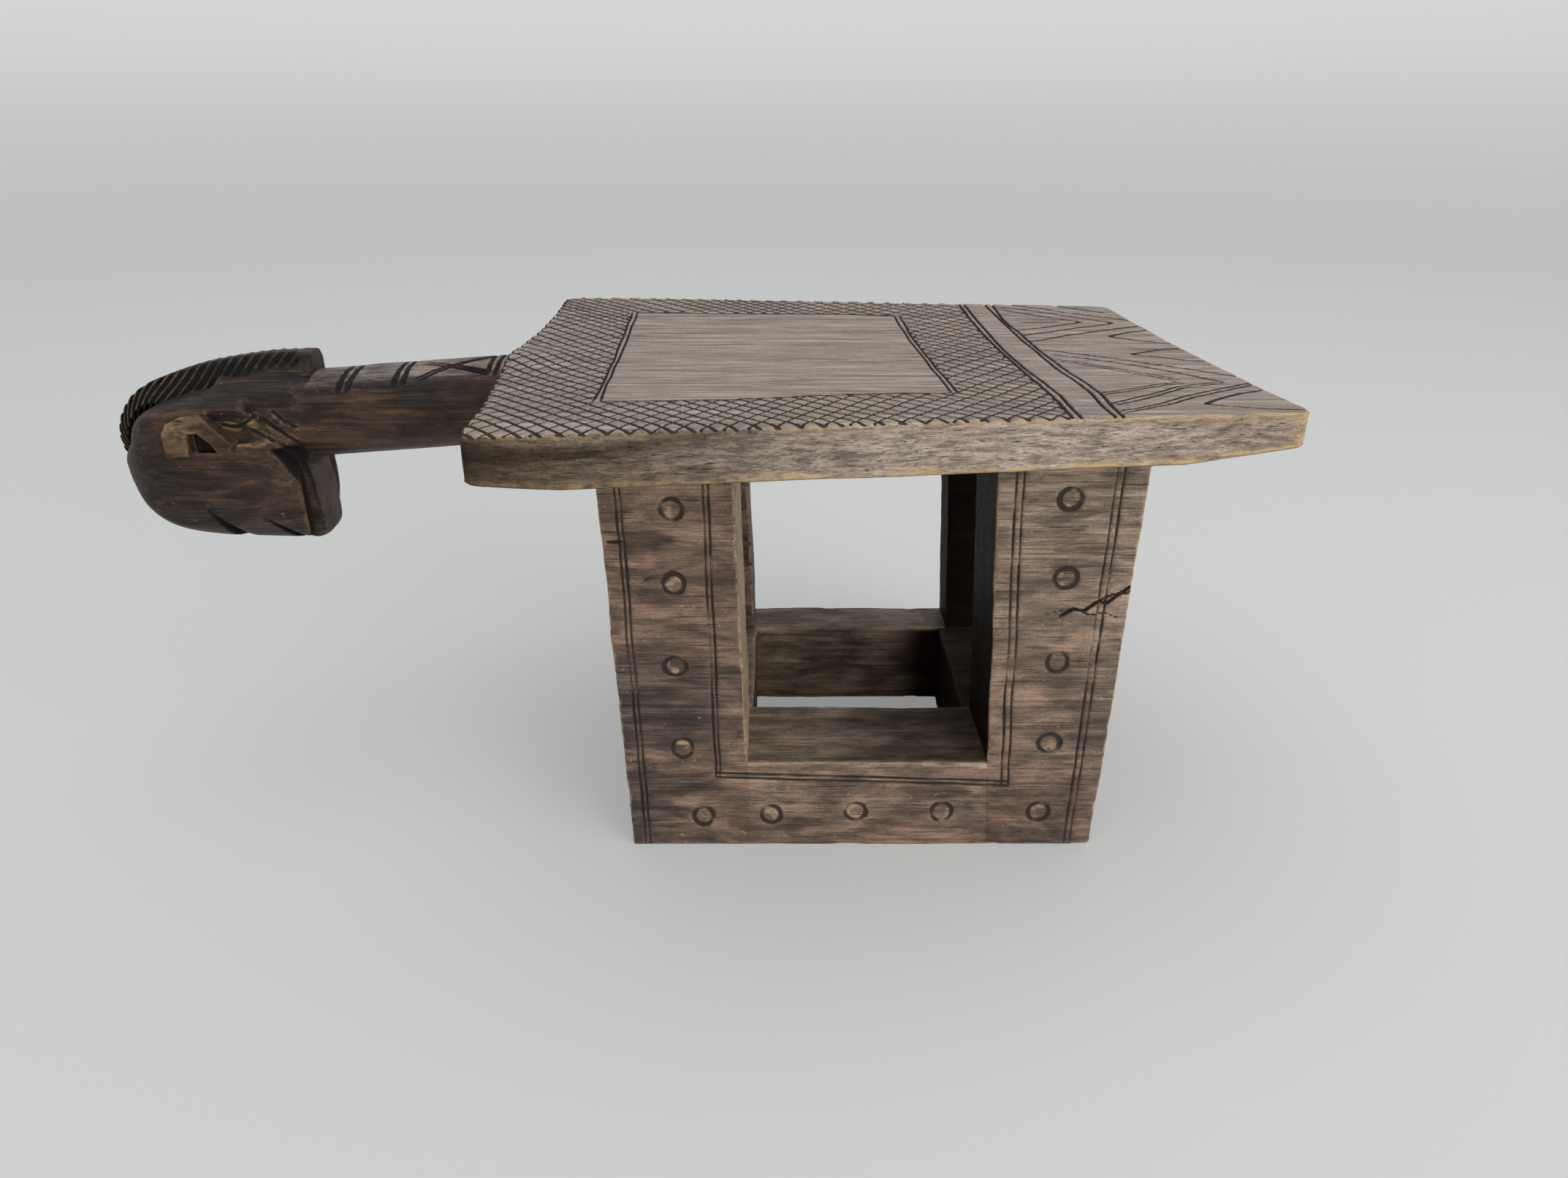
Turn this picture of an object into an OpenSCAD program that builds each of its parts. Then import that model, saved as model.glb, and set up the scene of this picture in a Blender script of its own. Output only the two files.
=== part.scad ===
// Low carved stool: a wide trapezoid seat on an open box base, and a neck with a crested head as its handle.
// The origin is on the floor under the middle of the whole stool. The head points along -X, the front is -Y.
// The real stool is cut from one block. Each node is one carved member, and members meet face to face.

/* [Seat] */
// Length of the seat between the lines that join the corners of its two ends
seat_length = 349; // [320:0.5:380]
// Depth of the wide end, beside the neck
seat_wide_end = 340; // [300:1:380]
// Depth of the narrow end
seat_narrow_end = 262; // [240:1:300]
// Thickness of the seat over the base
seat_thickness = 23; // [19:0.5:30]
// Thickness of the seat at its two ends
seat_end_thickness = 17.5; // [13:0.5:18.5]
// Depth of the hollow in the top of the seat
seat_dish = 5; // [2:0.5:8]
// Width of that hollow from front to back
seat_dish_width = 300; // [260:1:330]
// How far the front corner of each end lies to the right of its back corner
seat_end_skew = 18; // [0:1:30]
// How far the middle of the narrow end lies behind the middle of the wide end
seat_narrow_set_back = 7; // [-10:1:15]
// How far the middle of the wide end bows outward from the line between its corners
seat_wide_end_bow = 9; // [0:0.5:12]
// How far the middle of the narrow end bows outward from the line between its corners
seat_narrow_end_bow = 4; // [0:0.5:12]
// How far the seat sits to the left of the middle of the base
seat_set_left = 1.5; // [-10:0.5:10]
// How far the wide end sits in front of the middle of the base
seat_set_forward = 3; // [-10:1:10]
// Radius of the worn corners, seen from above
seat_corner_radius = 7; // [2:1:20]

/* [Carving] */
// Width of the carved lines in the top of the seat
line_width = 1.6; // [1.2:0.1:2.2]
// Depth of those lines
line_depth = 1.2; // [0.8:0.1:2]
// Distance between the crossing lines round the panel, of which these are the main ones
hatch_spacing = 35; // [28:1:60]

/* [Base] */
// Width of the base on the floor
base_width = 242; // [220:1:260]
// Depth of the base
base_depth = 191; // [170:1:215]
// Height of the base from the floor to the underside of the seat
base_height = 222; // [190:1:260]
// How far the left side leans outward over the height of the base
base_left_lean = 8; // [0:1:15]
// How far the right side leans outward over the height of the base
base_right_lean = 6; // [0:1:15]
// Thickness of the front frame
front_frame_thickness = 58; // [40:1:70]
// Thickness of the rear frame
rear_frame_thickness = 32; // [25:1:50]
// Height of the rails that lie on the floor
rail_height = 51; // [35:1:70]
// Width of the side rails
side_rail_width = 62; // [40:1:75]
// Width of the left uprights on the floor
left_upright_foot = 62; // [45:1:75]
// Width of the left uprights under the seat
left_upright_top = 64; // [45:1:75]
// Width of the right uprights on the floor
right_upright_foot = 55.5; // [45:0.5:75]
// Width of the right uprights under the seat
right_upright_top = 71; // [45:1:80]

/* [Neck] */
// Diameter of the neck
neck_diameter = 46.5; // [40:0.5:50]
// Length of the neck between the seat and the head
neck_length = 112; // [90:1:150]
// How far the top of the neck lies below the rim of the seat, where they meet
neck_below_rim = 2; // [0:0.5:6]
// Angle at which the neck rises from the head to the seat
neck_rise = 4.4; // [0:0.1:7]
// How far the root of the neck runs under the seat
neck_root = 50; // [30:1:70]

/* [Head] */
// Length of the head from the neck to the crown
head_length = 105; // [98:1:125]
// Width of the head across the cheeks
head_width = 68; // [62:1:80]
// How far the chin hangs below the axis of the neck
chin_drop = 70; // [64:0.5:80]
// How much lower the chin lies than the brow
face_slant = 2.5; // [0:0.5:8]
// Radius of the crown, seen from the side
crown_radius = 38; // [34:1:44]
// Radius of the brow, seen from the side
brow_radius = 58; // [50:1:62]
// How far the brow is set back from the crown
brow_set_back = 0.5; // [0:0.5:3]
// Radius of the chin, seen from the side
chin_radius = 12; // [6:1:16]
// Width of the throat ridge behind the chin
throat_width = 24; // [18:1:30]
// Depth of the hollows beside the throat ridge
throat_hollow = 10; // [5:1:14]
// How far apart the inner ends of the two eye notches lie, and of the two mouth notches
notch_gap = 28; // [20:1:40]

/* [Hair and ears] */
// Width of the crest of hair
crest_width = 24; // [18:1:30]
// Thickness of the crest over the skull
crest_thickness = 11.5; // [8:0.5:14]
// How far the nape end of the crest stands above the axis of the neck
crest_rise = 33; // [31:0.5:38]
// Angle at which the crest falls where it meets the crown. It leaves the nape level
crest_slope = 20; // [14:1:24]
// Length of an ear
ear_length = 34.5; // [28:0.5:36]
// Height of an ear
ear_height = 21.5; // [16:0.5:21.5]
// How far an ear stands out from the side of the head
ear_relief = 5; // [3:0.5:8]

/* [Hidden] */
seat_colour = "#7a6a5c";
base_colour = "#5b4636";
head_colour = "#3f2f26";

// Cuts run this far past the solids they cut
past = 10;

seat_top = base_height + seat_thickness;

// Middles of the lines between the corners of the two ends, seen from above
wide_end_x = -seat_set_left - seat_length / 2;
narrow_end_x = -seat_set_left + seat_length / 2;
wide_end_y = -seat_set_forward;
narrow_end_y = wide_end_y + seat_narrow_set_back;

// Points of an end that is bowed, from its front corner to its back corner. A power of 1 spreads the bow
// evenly, and the wide end's higher power keeps most of its bow beside the neck.
bow_steps = 12;
even_power = 1;
neck_power = 3;
function bowed_end(x, y, depth, bow, power) = [
  for (i = [0:bow_steps]) let (t = 2 * i / bow_steps - 1)
    [x - t * seat_end_skew / 2 + bow * pow(1 - t * t, power), y + t * depth / 2]
];
wide_end = bowed_end(wide_end_x, wide_end_y, seat_wide_end, -seat_wide_end_bow, neck_power);
narrow_end = bowed_end(narrow_end_x, narrow_end_y, seat_narrow_end, seat_narrow_end_bow, even_power);
corner_steps = 6;

// Points along an arc from angle a0 to angle a1
function arc(centre, radius, a0, a1, steps) =
  [for (i = [0:steps]) centre + radius * [cos(a0 + (a1 - a0) * i / steps), sin(a0 + (a1 - a0) * i / steps)]];

function unit(v) = v / norm(v);

// Points moved sideways by offset, to the left of the way they run, with mitred corners
function beside(points, offset, closed) =
  let (last = len(points) - 1)
  [
    for (i = [0:last])
      let (before = i > 0 ? points[i - 1] : closed ? points[last] : 2 * points[0] - points[1])
      let (after = i < last ? points[i + 1] : closed ? points[0] : 2 * points[last] - points[last - 1])
      let (u = unit(points[i] - before), v = unit(after - points[i]), bisector = unit(u + v))
        points[i] + offset / (bisector * u) * [-bisector.y, bisector.x]
  ];

// Points of the corner p between its neighbours a and b, in a list that runs anticlockwise
function round_corner(a, p, b, radius, steps) =
  let (to_a = unit(a - p), to_b = unit(b - p), half = acos(to_a * to_b) / 2)
  let (centre = p + unit(to_a + to_b) * radius / sin(half))
  let (start = p + to_a * radius / tan(half) - centre, first = atan2(start.y, start.x))
  arc(centre, radius, first, first + 180 - 2 * half, steps);

// The seat from above, from its front right corner round by the back
seat_corners = concat(narrow_end, [for (i = [bow_steps:-1:0]) wide_end[i]]);
corner_count = len(seat_corners);
function is_corner(i) = i % (bow_steps + 1) == 0 || i % (bow_steps + 1) == bow_steps;
seat_outline = [
  for (i = [0:corner_count - 1])
    let (before = seat_corners[(i + corner_count - 1) % corner_count])
    let (after = seat_corners[(i + 1) % corner_count])
      each is_corner(i)
        ? round_corner(before, seat_corners[i], after, seat_corner_radius, corner_steps)
        : [seat_corners[i]]
];

// Carved lines of the seat's top, as points from the middle of the seat at the size that was measured.
// They stretch with the seat. The panel is a plain field inside its border, and the band crosses the seat
// beside it.
measured_seat = [349, 340];
panel = [[-123, -103], [40, -82], [31, 111], [-133, 120]];
panel_lines = [[[-120, -99], [-130, 116]], [[36, -79], [28, 108]]];
band_lines = [
  [[72, 150], [78, 0], [79, -140]], [[75, 150], [81, 0], [83, -140]],
  [[88, 150], [96, 0], [98, -140]], [[92, 150], [100, 0], [102, -140]]
];
// Nested points that run to the narrow end, and the points that come in from its edge between them
nested_lines = [
  [[101, -124], [143, -88], [188, -56]], [[102, 20], [151, -17], [188, -54]],
  [[103, -106], [168, -57], [103, 9]], [[104, -84], [148, -56], [99, -3]],
  [[99, 143], [174, 91], [97, 43]], [[96, 135], [157, 92], [97, 59]], [[96, 128], [139, 94], [96, 72]]
];
edge_lines = [
  [[188, -71], [142, -106], [186, -119]], [[183, 26], [143, 9], [188, -8]], [[179, 74], [144, 56], [184, 31]]
];
falling_angle = -50;
rising_angle = 57;
// The borders are the deepest lines, and one family of the crossing lines was cut less deep than the other
depth_step = 0.2;
seat_middle = [-seat_set_left, wide_end_y];
function on_seat(p) =
  seat_middle + [p.x * seat_length / measured_seat.x, p.y * seat_wide_end / measured_seat.y];

// Faces of the base seen from the front, as x at a height z
function outer_left(z) = -base_width / 2 - base_left_lean * z / base_height;
function outer_right(z) = base_width / 2 + base_right_lean * z / base_height;
function share(z, foot, top) = foot + (top - foot) * z / base_height;
function inner_left(z) = outer_left(z) + share(z, left_upright_foot, left_upright_top);
function inner_right(z) = outer_right(z) - share(z, right_upright_foot, right_upright_top);
front_y = -base_depth / 2;
rear_y = base_depth / 2;

// The neck's axis meets the seat's wide end at neck_seat_z and the head at joint_x, joint_z
neck_radius = neck_diameter / 2;
neck_seat_z = seat_top - neck_below_rim - neck_radius;
joint_x = wide_end_x - neck_length;
joint_z = neck_seat_z - neck_length * tan(neck_rise);
neck_steps = 96;
dish_steps = 1440;

// Side view of the head, as points [distance from the neck, height above the neck's axis]. The crest runs
// over a large arc, the ridge, and then round the crown.
ridge_radius = (head_length - crown_radius) / sin(crest_slope) + crown_radius;
ridge = [0, crest_rise - ridge_radius];
crown = ridge + (ridge_radius - crown_radius) * [sin(crest_slope), cos(crest_slope)];
brow = [head_length - brow_set_back - brow_radius, face_slant + brow_radius - chin_drop];
chin = [chin_radius, chin_radius - chin_drop];
crest_seat = crest_rise - crest_thickness;
// The crest ends on the forehead at these angles about the crown, on its outside and on its seat
crest_tip = -5;
crest_tip_seat = 15;
// Below it the forehead runs on round the crown to the first of these angles, and the brow starts at the
// second
forehead_end = -20;
brow_start = -30;
forehead_steps = 2;
arc_steps = 12;
// The ridge has one point less than its steps, since the crown's arc starts with the last one
ridge_steps = 6;
ridge_end = 90 - crest_slope * (1 - 1 / ridge_steps);
crest_outside = concat(
  arc(ridge, ridge_radius, 90, ridge_end, ridge_steps - 1),
  arc(crown, crown_radius, 90 - crest_slope, crest_tip, arc_steps)
);
crest_inside = concat(
  arc(ridge, ridge_radius - crest_thickness, 90, ridge_end, ridge_steps - 1),
  arc(crown, crown_radius - crest_thickness, 90 - crest_slope, crest_tip_seat, arc_steps)
);
skull_profile = concat(
  crest_inside, arc(crown, crown_radius, crest_tip, forehead_end, forehead_steps),
  arc(brow, brow_radius, brow_start, -90, arc_steps), arc(chin, chin_radius, -90, -180, arc_steps)
);

// End view of the head: the temples slope out from the crest, and half an ellipse rounds the jaw below them
temple_height = 8;
cheek_height = -25;
jaw_step = 12;
skull_section = concat(
  [[crest_width / 2, crest_seat], [head_width / 2, temple_height]],
  [
    for (a = [0:-jaw_step:-180])
      [head_width / 2 * cos(a), cheek_height + (chin_drop + cheek_height) * sin(a)]
  ],
  [[-head_width / 2, temple_height], [-crest_width / 2, crest_seat]]
);

// Plan of the head: the cheeks widen from the neck, run straight, then half an ellipse rounds the crown
cheek_start = 28;
crown_reach = 42;
crown_step = 10;
cheek_end = head_length - crown_reach;
skull_plan = concat(
  [[0, neck_radius], [cheek_start, head_width / 2]],
  [for (a = [90:-crown_step:-90]) [cheek_end + crown_reach * cos(a), head_width / 2 * sin(a)]],
  [[cheek_start, -head_width / 2], [0, -neck_radius]]
);

// The shoulder of the cheek runs from the neck's underside up to this point, this far outside the neck's side
shoulder = [26, temple_height];
shoulder_gap = 0.5;

// The hollow beside the throat ridge flares by throat_flare at its bottom and ends this far outside the neck
throat_flare = 2;
hollow_gap = 4;

// Eye and mouth notches: upper tip, height of the slanted side, how far the tip leans, and width at the foot
eye_tip = [54, -45];
eye_height = 19;
eye_lean = 0;
eye_width = 10;
mouth_tip = [25.5, -50.5];
mouth_height = 14;
mouth_lean = 5;
mouth_width = 5;

// An ear starts this far from the neck, and its foot stands at this height beside the neck's axis
ear_start = 31.5;
ear_foot = -13.5;
// Its outline in shares of its length and height, from the foot of its thick leg over the arch
ear_shares = [
  [1, 0], [0.98, 0.64], [0.74, 0.95], [0.41, 1], [0.27, 0.73], [0, 0.45], [0.05, 0.09], [0.22, 0.09],
  [0.51, 0.5], [0.65, 0.5], [0.7, 0]
];
ear_outline = [for (p = ear_shares) [ear_start + ear_length * p.x, ear_foot + ear_height * p.y]];

// The origin is put under the middle of everything
head_end_x = joint_x - max([for (p = crest_outside) p.x]);
seat_xs = [for (p = seat_outline) p.x];
seat_ys = [for (p = seat_outline) p.y];
middle = [(head_end_x + max(seat_xs)) / 2, (min(seat_ys) + max(seat_ys)) / 2, 0];

module in_frame() {
  translate(-middle) children();
}

// A flat shape of x and z, given a thickness from y0 to y1
module between_y(y0, y1) {
  translate([0, y1, 0]) rotate([90, 0, 0]) linear_extrude(y1 - y0) children();
}

// A flat shape of y and z, given a length from x0 to x1
module between_x(x0, x1) {
  translate([x0, 0, 0]) rotate([90, 0, 90]) linear_extrude(x1 - x0) children();
}

// The space that the seat fills, up to the height given
module seat_block(top) {
  intersection() {
    linear_extrude(top) polygon(seat_outline);
    between_y(-seat_wide_end, seat_wide_end) polygon([
      [min(seat_xs), seat_top - seat_end_thickness], [outer_left(base_height), base_height],
      [outer_right(base_height), base_height], [max(seat_xs), seat_top - seat_end_thickness],
      [max(seat_xs), top], [min(seat_xs), top]
    ]);
  }
}

// The cylinder that hollows the top of the seat, with its surface lower by the depth given
module dish(deeper) {
  dish_radius = (pow(seat_dish_width / 2, 2) + pow(seat_dish, 2)) / (2 * seat_dish);
  translate([-seat_length, wide_end_y + seat_narrow_set_back / 2, seat_top - seat_dish + dish_radius])
    rotate([0, 90, 0]) cylinder(r = dish_radius + deeper, h = 2 * seat_length, $fn = dish_steps);
}

// A flat pattern, cut into the top of the seat to the depth given
module carved(depth) {
  intersection() {
    dish(depth);
    linear_extrude(seat_top + past) children();
  }
}

// Borders of the panel and the band, and the nested points beside the band
module border_lines() {
  loop = [for (p = panel) on_seat(p)];
  difference() {
    polygon(beside(loop, -line_width / 2, true));
    polygon(beside(loop, line_width / 2, true));
  }
  for (line = concat(panel_lines, band_lines, nested_lines, edge_lines)) {
    placed = [for (p = line) on_seat(p)];
    right = beside(placed, -line_width / 2, false);
    left = beside(placed, line_width / 2, false);
    polygon(concat(right, [for (i = [len(left) - 1:-1:0]) left[i]]));
  }
}

// Parallel lines at the angle given, between the panel, the edges of the seat and the first line of the band
module hatching(angle) {
  count = ceil(seat_length / hatch_spacing);
  band_start = [for (p = band_lines[0]) on_seat(p)];
  intersection() {
    for (i = [-count:count])
      translate(seat_middle) rotate(angle) translate([-seat_length, i * hatch_spacing - line_width / 2])
        square([2 * seat_length, line_width]);
    difference() {
      polygon(concat([[-seat_length, -seat_wide_end], [-seat_length, seat_wide_end]], band_start));
      polygon([for (p = panel) on_seat(p)]);
    }
  }
}

module plain_seat() {
  difference() {
    seat_block(seat_top);
    dish(0);
  }
}

module bordered_seat() {
  difference() {
    plain_seat();
    carved(line_depth) border_lines();
  }
}

module half_hatched_seat() {
  difference() {
    bordered_seat();
    carved(line_depth - depth_step) hatching(falling_angle);
  }
}

module seat_slab() {
  color(seat_colour) in_frame() difference() {
    half_hatched_seat();
    carved(line_depth - 2 * depth_step) hatching(rising_angle);
  }
}

module left_upright(y0, y1) {
  color(base_colour) in_frame() between_y(y0, y1) polygon([
    [outer_left(0), 0], [inner_left(0), 0], [inner_left(base_height), base_height],
    [outer_left(base_height), base_height]
  ]);
}

module right_upright(y0, y1) {
  color(base_colour) in_frame() between_y(y0, y1) polygon([
    [inner_right(0), 0], [outer_right(0), 0], [outer_right(base_height), base_height],
    [inner_right(base_height), base_height]
  ]);
}

// A rail along the floor between the left and the right upright
module cross_rail(y0, y1) {
  color(base_colour) in_frame() between_y(y0, y1) polygon([
    [inner_left(0), 0], [inner_right(0), 0], [inner_right(rail_height), rail_height],
    [inner_left(rail_height), rail_height]
  ]);
}

// A rail along the floor between the front and the rear frame, with its outer face flush with the uprights
module side_rail(inner, outer_foot, outer_top) {
  color(base_colour) in_frame() between_y(front_y + front_frame_thickness, rear_y - rear_frame_thickness)
    polygon([[inner, 0], [outer_foot, 0], [outer_top, rail_height], [inner, rail_height]]);
}

module front_left_upright() {
  left_upright(front_y, front_y + front_frame_thickness);
}

module front_right_upright() {
  right_upright(front_y, front_y + front_frame_thickness);
}

module front_rail() {
  cross_rail(front_y, front_y + front_frame_thickness);
}

module rear_left_upright() {
  left_upright(rear_y - rear_frame_thickness, rear_y);
}

module rear_right_upright() {
  right_upright(rear_y - rear_frame_thickness, rear_y);
}

module rear_rail() {
  cross_rail(rear_y - rear_frame_thickness, rear_y);
}

module left_rail() {
  side_rail(-base_width / 2 + side_rail_width, outer_left(0), outer_left(rail_height));
}

module right_rail() {
  side_rail(base_width / 2 - side_rail_width, outer_right(0), outer_right(rail_height));
}

// The neck runs on under the seat as a root that fades out towards the base
module neck() {
  root_end_x = wide_end_x + neck_root;
  root_start_z = neck_seat_z - neck_radius;
  cylinder_length = neck_length + neck_root + 2 * past;
  color(head_colour) in_frame() difference() {
    intersection() {
      translate([joint_x, wide_end_y, joint_z]) rotate([0, 90 - neck_rise, 0]) translate([0, 0, -past])
        cylinder(r = neck_radius, h = cylinder_length, $fn = neck_steps);
      between_y(wide_end_y - neck_diameter, wide_end_y + neck_diameter) polygon([
        [joint_x, 0], [wide_end_x, 0], [wide_end_x, root_start_z], [root_end_x, base_height],
        [root_end_x, seat_top], [joint_x, seat_top]
      ]);
    }
    seat_block(seat_top + neck_diameter);
  }
}

// Puts a shape of the head in its place: x is the distance from the neck and z the height above its axis
module on_neck() {
  translate([joint_x, wide_end_y, joint_z]) mirror([1, 0, 0]) children();
}

// The same cut or piece on the front side and on the rear side of the head
module both_sides() {
  children();
  mirror([0, 1, 0]) children();
}

// Side view of a slanted notch that opens downward
module notch_shape(tip, tall, lean, wide) {
  foot = tip - [lean, tall];
  polygon([
    tip, foot, [foot.x, -chin_drop - past], [foot.x - wide, -chin_drop - past], foot - [wide, 0]
  ]);
}

module head() {
  throat_edge = throat_width / 2;
  cheek_edge = neck_radius + hollow_gap;
  color(head_colour) in_frame() on_neck() difference() {
    intersection() {
      between_y(-head_width / 2, head_width / 2) polygon(skull_profile);
      between_x(0, head_length) polygon(skull_section);
      translate([0, 0, -chin_drop]) linear_extrude(chin_drop + crest_rise) polygon(skull_plan);
    }
    both_sides() {
      // Behind the cheek the head narrows to the neck
      between_y(neck_radius + shoulder_gap, head_width) polygon([
        [-past, -neck_radius], [0, -neck_radius], shoulder, [shoulder.x, crest_rise + past],
        [-past, crest_rise + past]
      ]);
      // Hollow between the throat ridge and the cheek
      translate([0, 0, -chin_drop - past]) linear_extrude(chin_drop + past - neck_radius) polygon([
        [-past, throat_edge], [0, throat_edge], [throat_hollow, throat_edge + throat_flare],
        [throat_hollow / 2, cheek_edge], [-past, cheek_edge]
      ]);
      // Eye and mouth
      between_y(notch_gap / 2, head_width) notch_shape(eye_tip, eye_height, eye_lean, eye_width);
      between_y(notch_gap / 2, head_width) notch_shape(mouth_tip, mouth_height, mouth_lean, mouth_width);
    }
  }
}

module hair_crest() {
  band = concat(crest_outside, [for (i = [len(crest_inside) - 1:-1:0]) crest_inside[i]]);
  color(head_colour) in_frame() on_neck() between_y(-crest_width / 2, crest_width / 2) polygon(band);
}

module ear() {
  color(head_colour) between_y(head_width / 2, head_width / 2 + ear_relief) polygon(ear_outline);
}

module front_ear() {
  in_frame() on_neck() mirror([0, 1, 0]) ear();
}

module rear_ear() {
  in_frame() on_neck() ear();
}

seat_slab();
front_left_upright();
front_right_upright();
front_rail();
rear_left_upright();
rear_right_upright();
rear_rail();
left_rail();
right_rail();
neck();
head();
hair_crest();
front_ear();
rear_ear();
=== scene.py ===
"""The looks of a low wooden stool cut from one block: hatched seat, open box base, neck and crested head.

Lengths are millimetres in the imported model's frame, and a mesh turns them into metres when it is made.
Each CAD member is replaced by one carved piece. Neighbours share the same noise, so the block looks whole.
"""
import math

import bpy
import numpy as np
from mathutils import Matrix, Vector
from mathutils.geometry import delaunay_2d_cdt


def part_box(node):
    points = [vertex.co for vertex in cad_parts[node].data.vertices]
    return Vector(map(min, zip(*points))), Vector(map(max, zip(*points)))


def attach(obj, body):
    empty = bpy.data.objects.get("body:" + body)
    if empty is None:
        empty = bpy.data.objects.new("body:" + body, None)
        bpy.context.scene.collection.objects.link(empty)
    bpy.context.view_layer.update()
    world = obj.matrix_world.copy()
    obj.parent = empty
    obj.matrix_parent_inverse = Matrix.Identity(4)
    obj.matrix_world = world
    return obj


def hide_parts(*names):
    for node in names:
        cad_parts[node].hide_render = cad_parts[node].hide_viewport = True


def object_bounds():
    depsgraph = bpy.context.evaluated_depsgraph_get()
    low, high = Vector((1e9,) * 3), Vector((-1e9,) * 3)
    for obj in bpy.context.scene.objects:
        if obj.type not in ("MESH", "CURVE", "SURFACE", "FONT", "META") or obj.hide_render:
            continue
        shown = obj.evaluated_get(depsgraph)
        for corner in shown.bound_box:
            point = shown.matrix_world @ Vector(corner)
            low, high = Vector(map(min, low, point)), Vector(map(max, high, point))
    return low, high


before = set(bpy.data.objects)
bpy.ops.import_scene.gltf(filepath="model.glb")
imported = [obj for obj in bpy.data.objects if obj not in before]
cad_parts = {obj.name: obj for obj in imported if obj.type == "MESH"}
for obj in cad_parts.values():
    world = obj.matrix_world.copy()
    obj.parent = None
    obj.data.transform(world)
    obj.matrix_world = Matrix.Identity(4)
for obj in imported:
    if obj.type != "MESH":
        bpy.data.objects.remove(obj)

MM = 0.001
CAD_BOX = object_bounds()


# Noise: smooth random values that are the same on every run

HASH = np.random.default_rng(12).uniform(-1.0, 1.0, 8192)
HASH_KEYS = (73856093, 19349663, 83492791)


def cell_corners(part):
    """The eight corners of a grid's cell, each with its weight at places within the cell."""
    for corner in range(8):
        pick = np.array([(corner >> axis) & 1 for axis in range(3)])
        yield pick, np.prod(np.where(pick, part, 1 - part), axis=1)


def noise(points, cell, seed=0):
    """Smooth values from -1 to 1 at points in millimetres. cell is the size of a blob along X, Y and Z."""
    scaled = np.asarray(points, float) / np.asarray(cell, float) + 17.3 * seed
    base = np.floor(scaled).astype(np.int64)
    part = scaled - base
    part = part * part * (3 - 2 * part)
    total = np.zeros(len(scaled))
    for pick, weight in cell_corners(part):
        keys = (base + pick) * HASH_KEYS
        total += weight * HASH[(keys[:, 0] ^ keys[:, 1] ^ keys[:, 2]) & (len(HASH) - 1)]
    return total


def hewn(points, amount=1.0):
    """How far the carver's tool and wear moved each point: long blobs along the grain, then finer ones."""
    moved = np.zeros((len(points), 3))
    for size, cell in ((0.55, (52, 30, 34)), (0.28, (19, 9, 10)), (0.1, (7, 2.6, 2.8))):
        for axis in range(3):
            moved[:, axis] += size * noise(points, cell, seed=3 * axis + size)
    return moved * amount


def stack(*columns):
    """Points from their coordinates, each an array or one value for all."""
    return np.column_stack(np.broadcast_arrays(*columns))


def smoothstep(low, high, value):
    t = np.clip((value - low) / (high - low), 0, 1)
    return t * t * (3 - 2 * t)


# Meshes

def make_piece(name, points, faces, material, cut=None, wear=None, tone=None, shade=None, sharp=48):
    """A piece in place of the CAD node of the same name. faces is a list of arrays of triangles or quads.

    cut, wear, tone and shade are values from 0 to 1 for each point, which the materials turn into colour.
    Shade is mostly painted shade, and tone and wear carry painted light in places.
    """
    mesh = bpy.data.meshes.new("carved_" + name)
    points = np.asarray(points, float) * MM
    points = np.clip(points, *(np.array(corner) for corner in CAD_BOX))
    mesh.vertices.add(len(points))
    mesh.vertices.foreach_set("co", points.ravel())
    corners = np.concatenate([np.asarray(f).ravel() for f in faces]).astype(np.int32)
    sizes = np.concatenate([np.full(len(f), np.asarray(f).shape[1]) for f in faces])
    starts = np.concatenate([[0], np.cumsum(sizes)[:-1]]).astype(np.int32)
    mesh.loops.add(len(corners))
    mesh.loops.foreach_set("vertex_index", corners)
    mesh.polygons.add(len(sizes))
    mesh.polygons.foreach_set("loop_start", starts)
    mesh.update(calc_edges=True)
    mesh.validate()
    mesh.polygons.foreach_set("use_smooth", np.ones(len(mesh.polygons), bool))
    mesh.set_sharp_from_angle(angle=math.radians(sharp))
    for label, values in (("cut", cut), ("wear", wear), ("tone", tone), ("shade", shade)):
        attribute = mesh.attributes.new(label, "FLOAT", "POINT")
        values = np.zeros(len(points)) if values is None else np.clip(values, 0, 1)
        attribute.data.foreach_set("value", values.astype(np.float32))
    mesh.materials.append(material)
    piece = bpy.data.objects.new("carved_" + name, mesh)
    bpy.context.scene.collection.objects.link(piece)
    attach(piece, "root")
    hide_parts(name)
    return piece


# Lines and outlines in a plane

def resample(line, step):
    """Points along a polyline, about step apart."""
    line = np.asarray(line, float)
    along = np.concatenate([[0], np.cumsum(np.hypot(*np.diff(line, axis=0).T))])
    count = max(2, int(round(along[-1] / step)) + 1)
    where = np.linspace(0, along[-1], count)
    return stack(*(np.interp(where, along, part) for part in line.T))


def left_of(run):
    """Unit vectors to the left of each direction."""
    run = run / np.hypot(*run.T)[:, None]
    return stack(-run[:, 1], run[:, 0])


def beside(line, offset):
    """A polyline moved sideways by offset, to the left of its direction."""
    line = np.asarray(line, float)
    return line + offset * left_of(np.gradient(line, axis=0))


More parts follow.
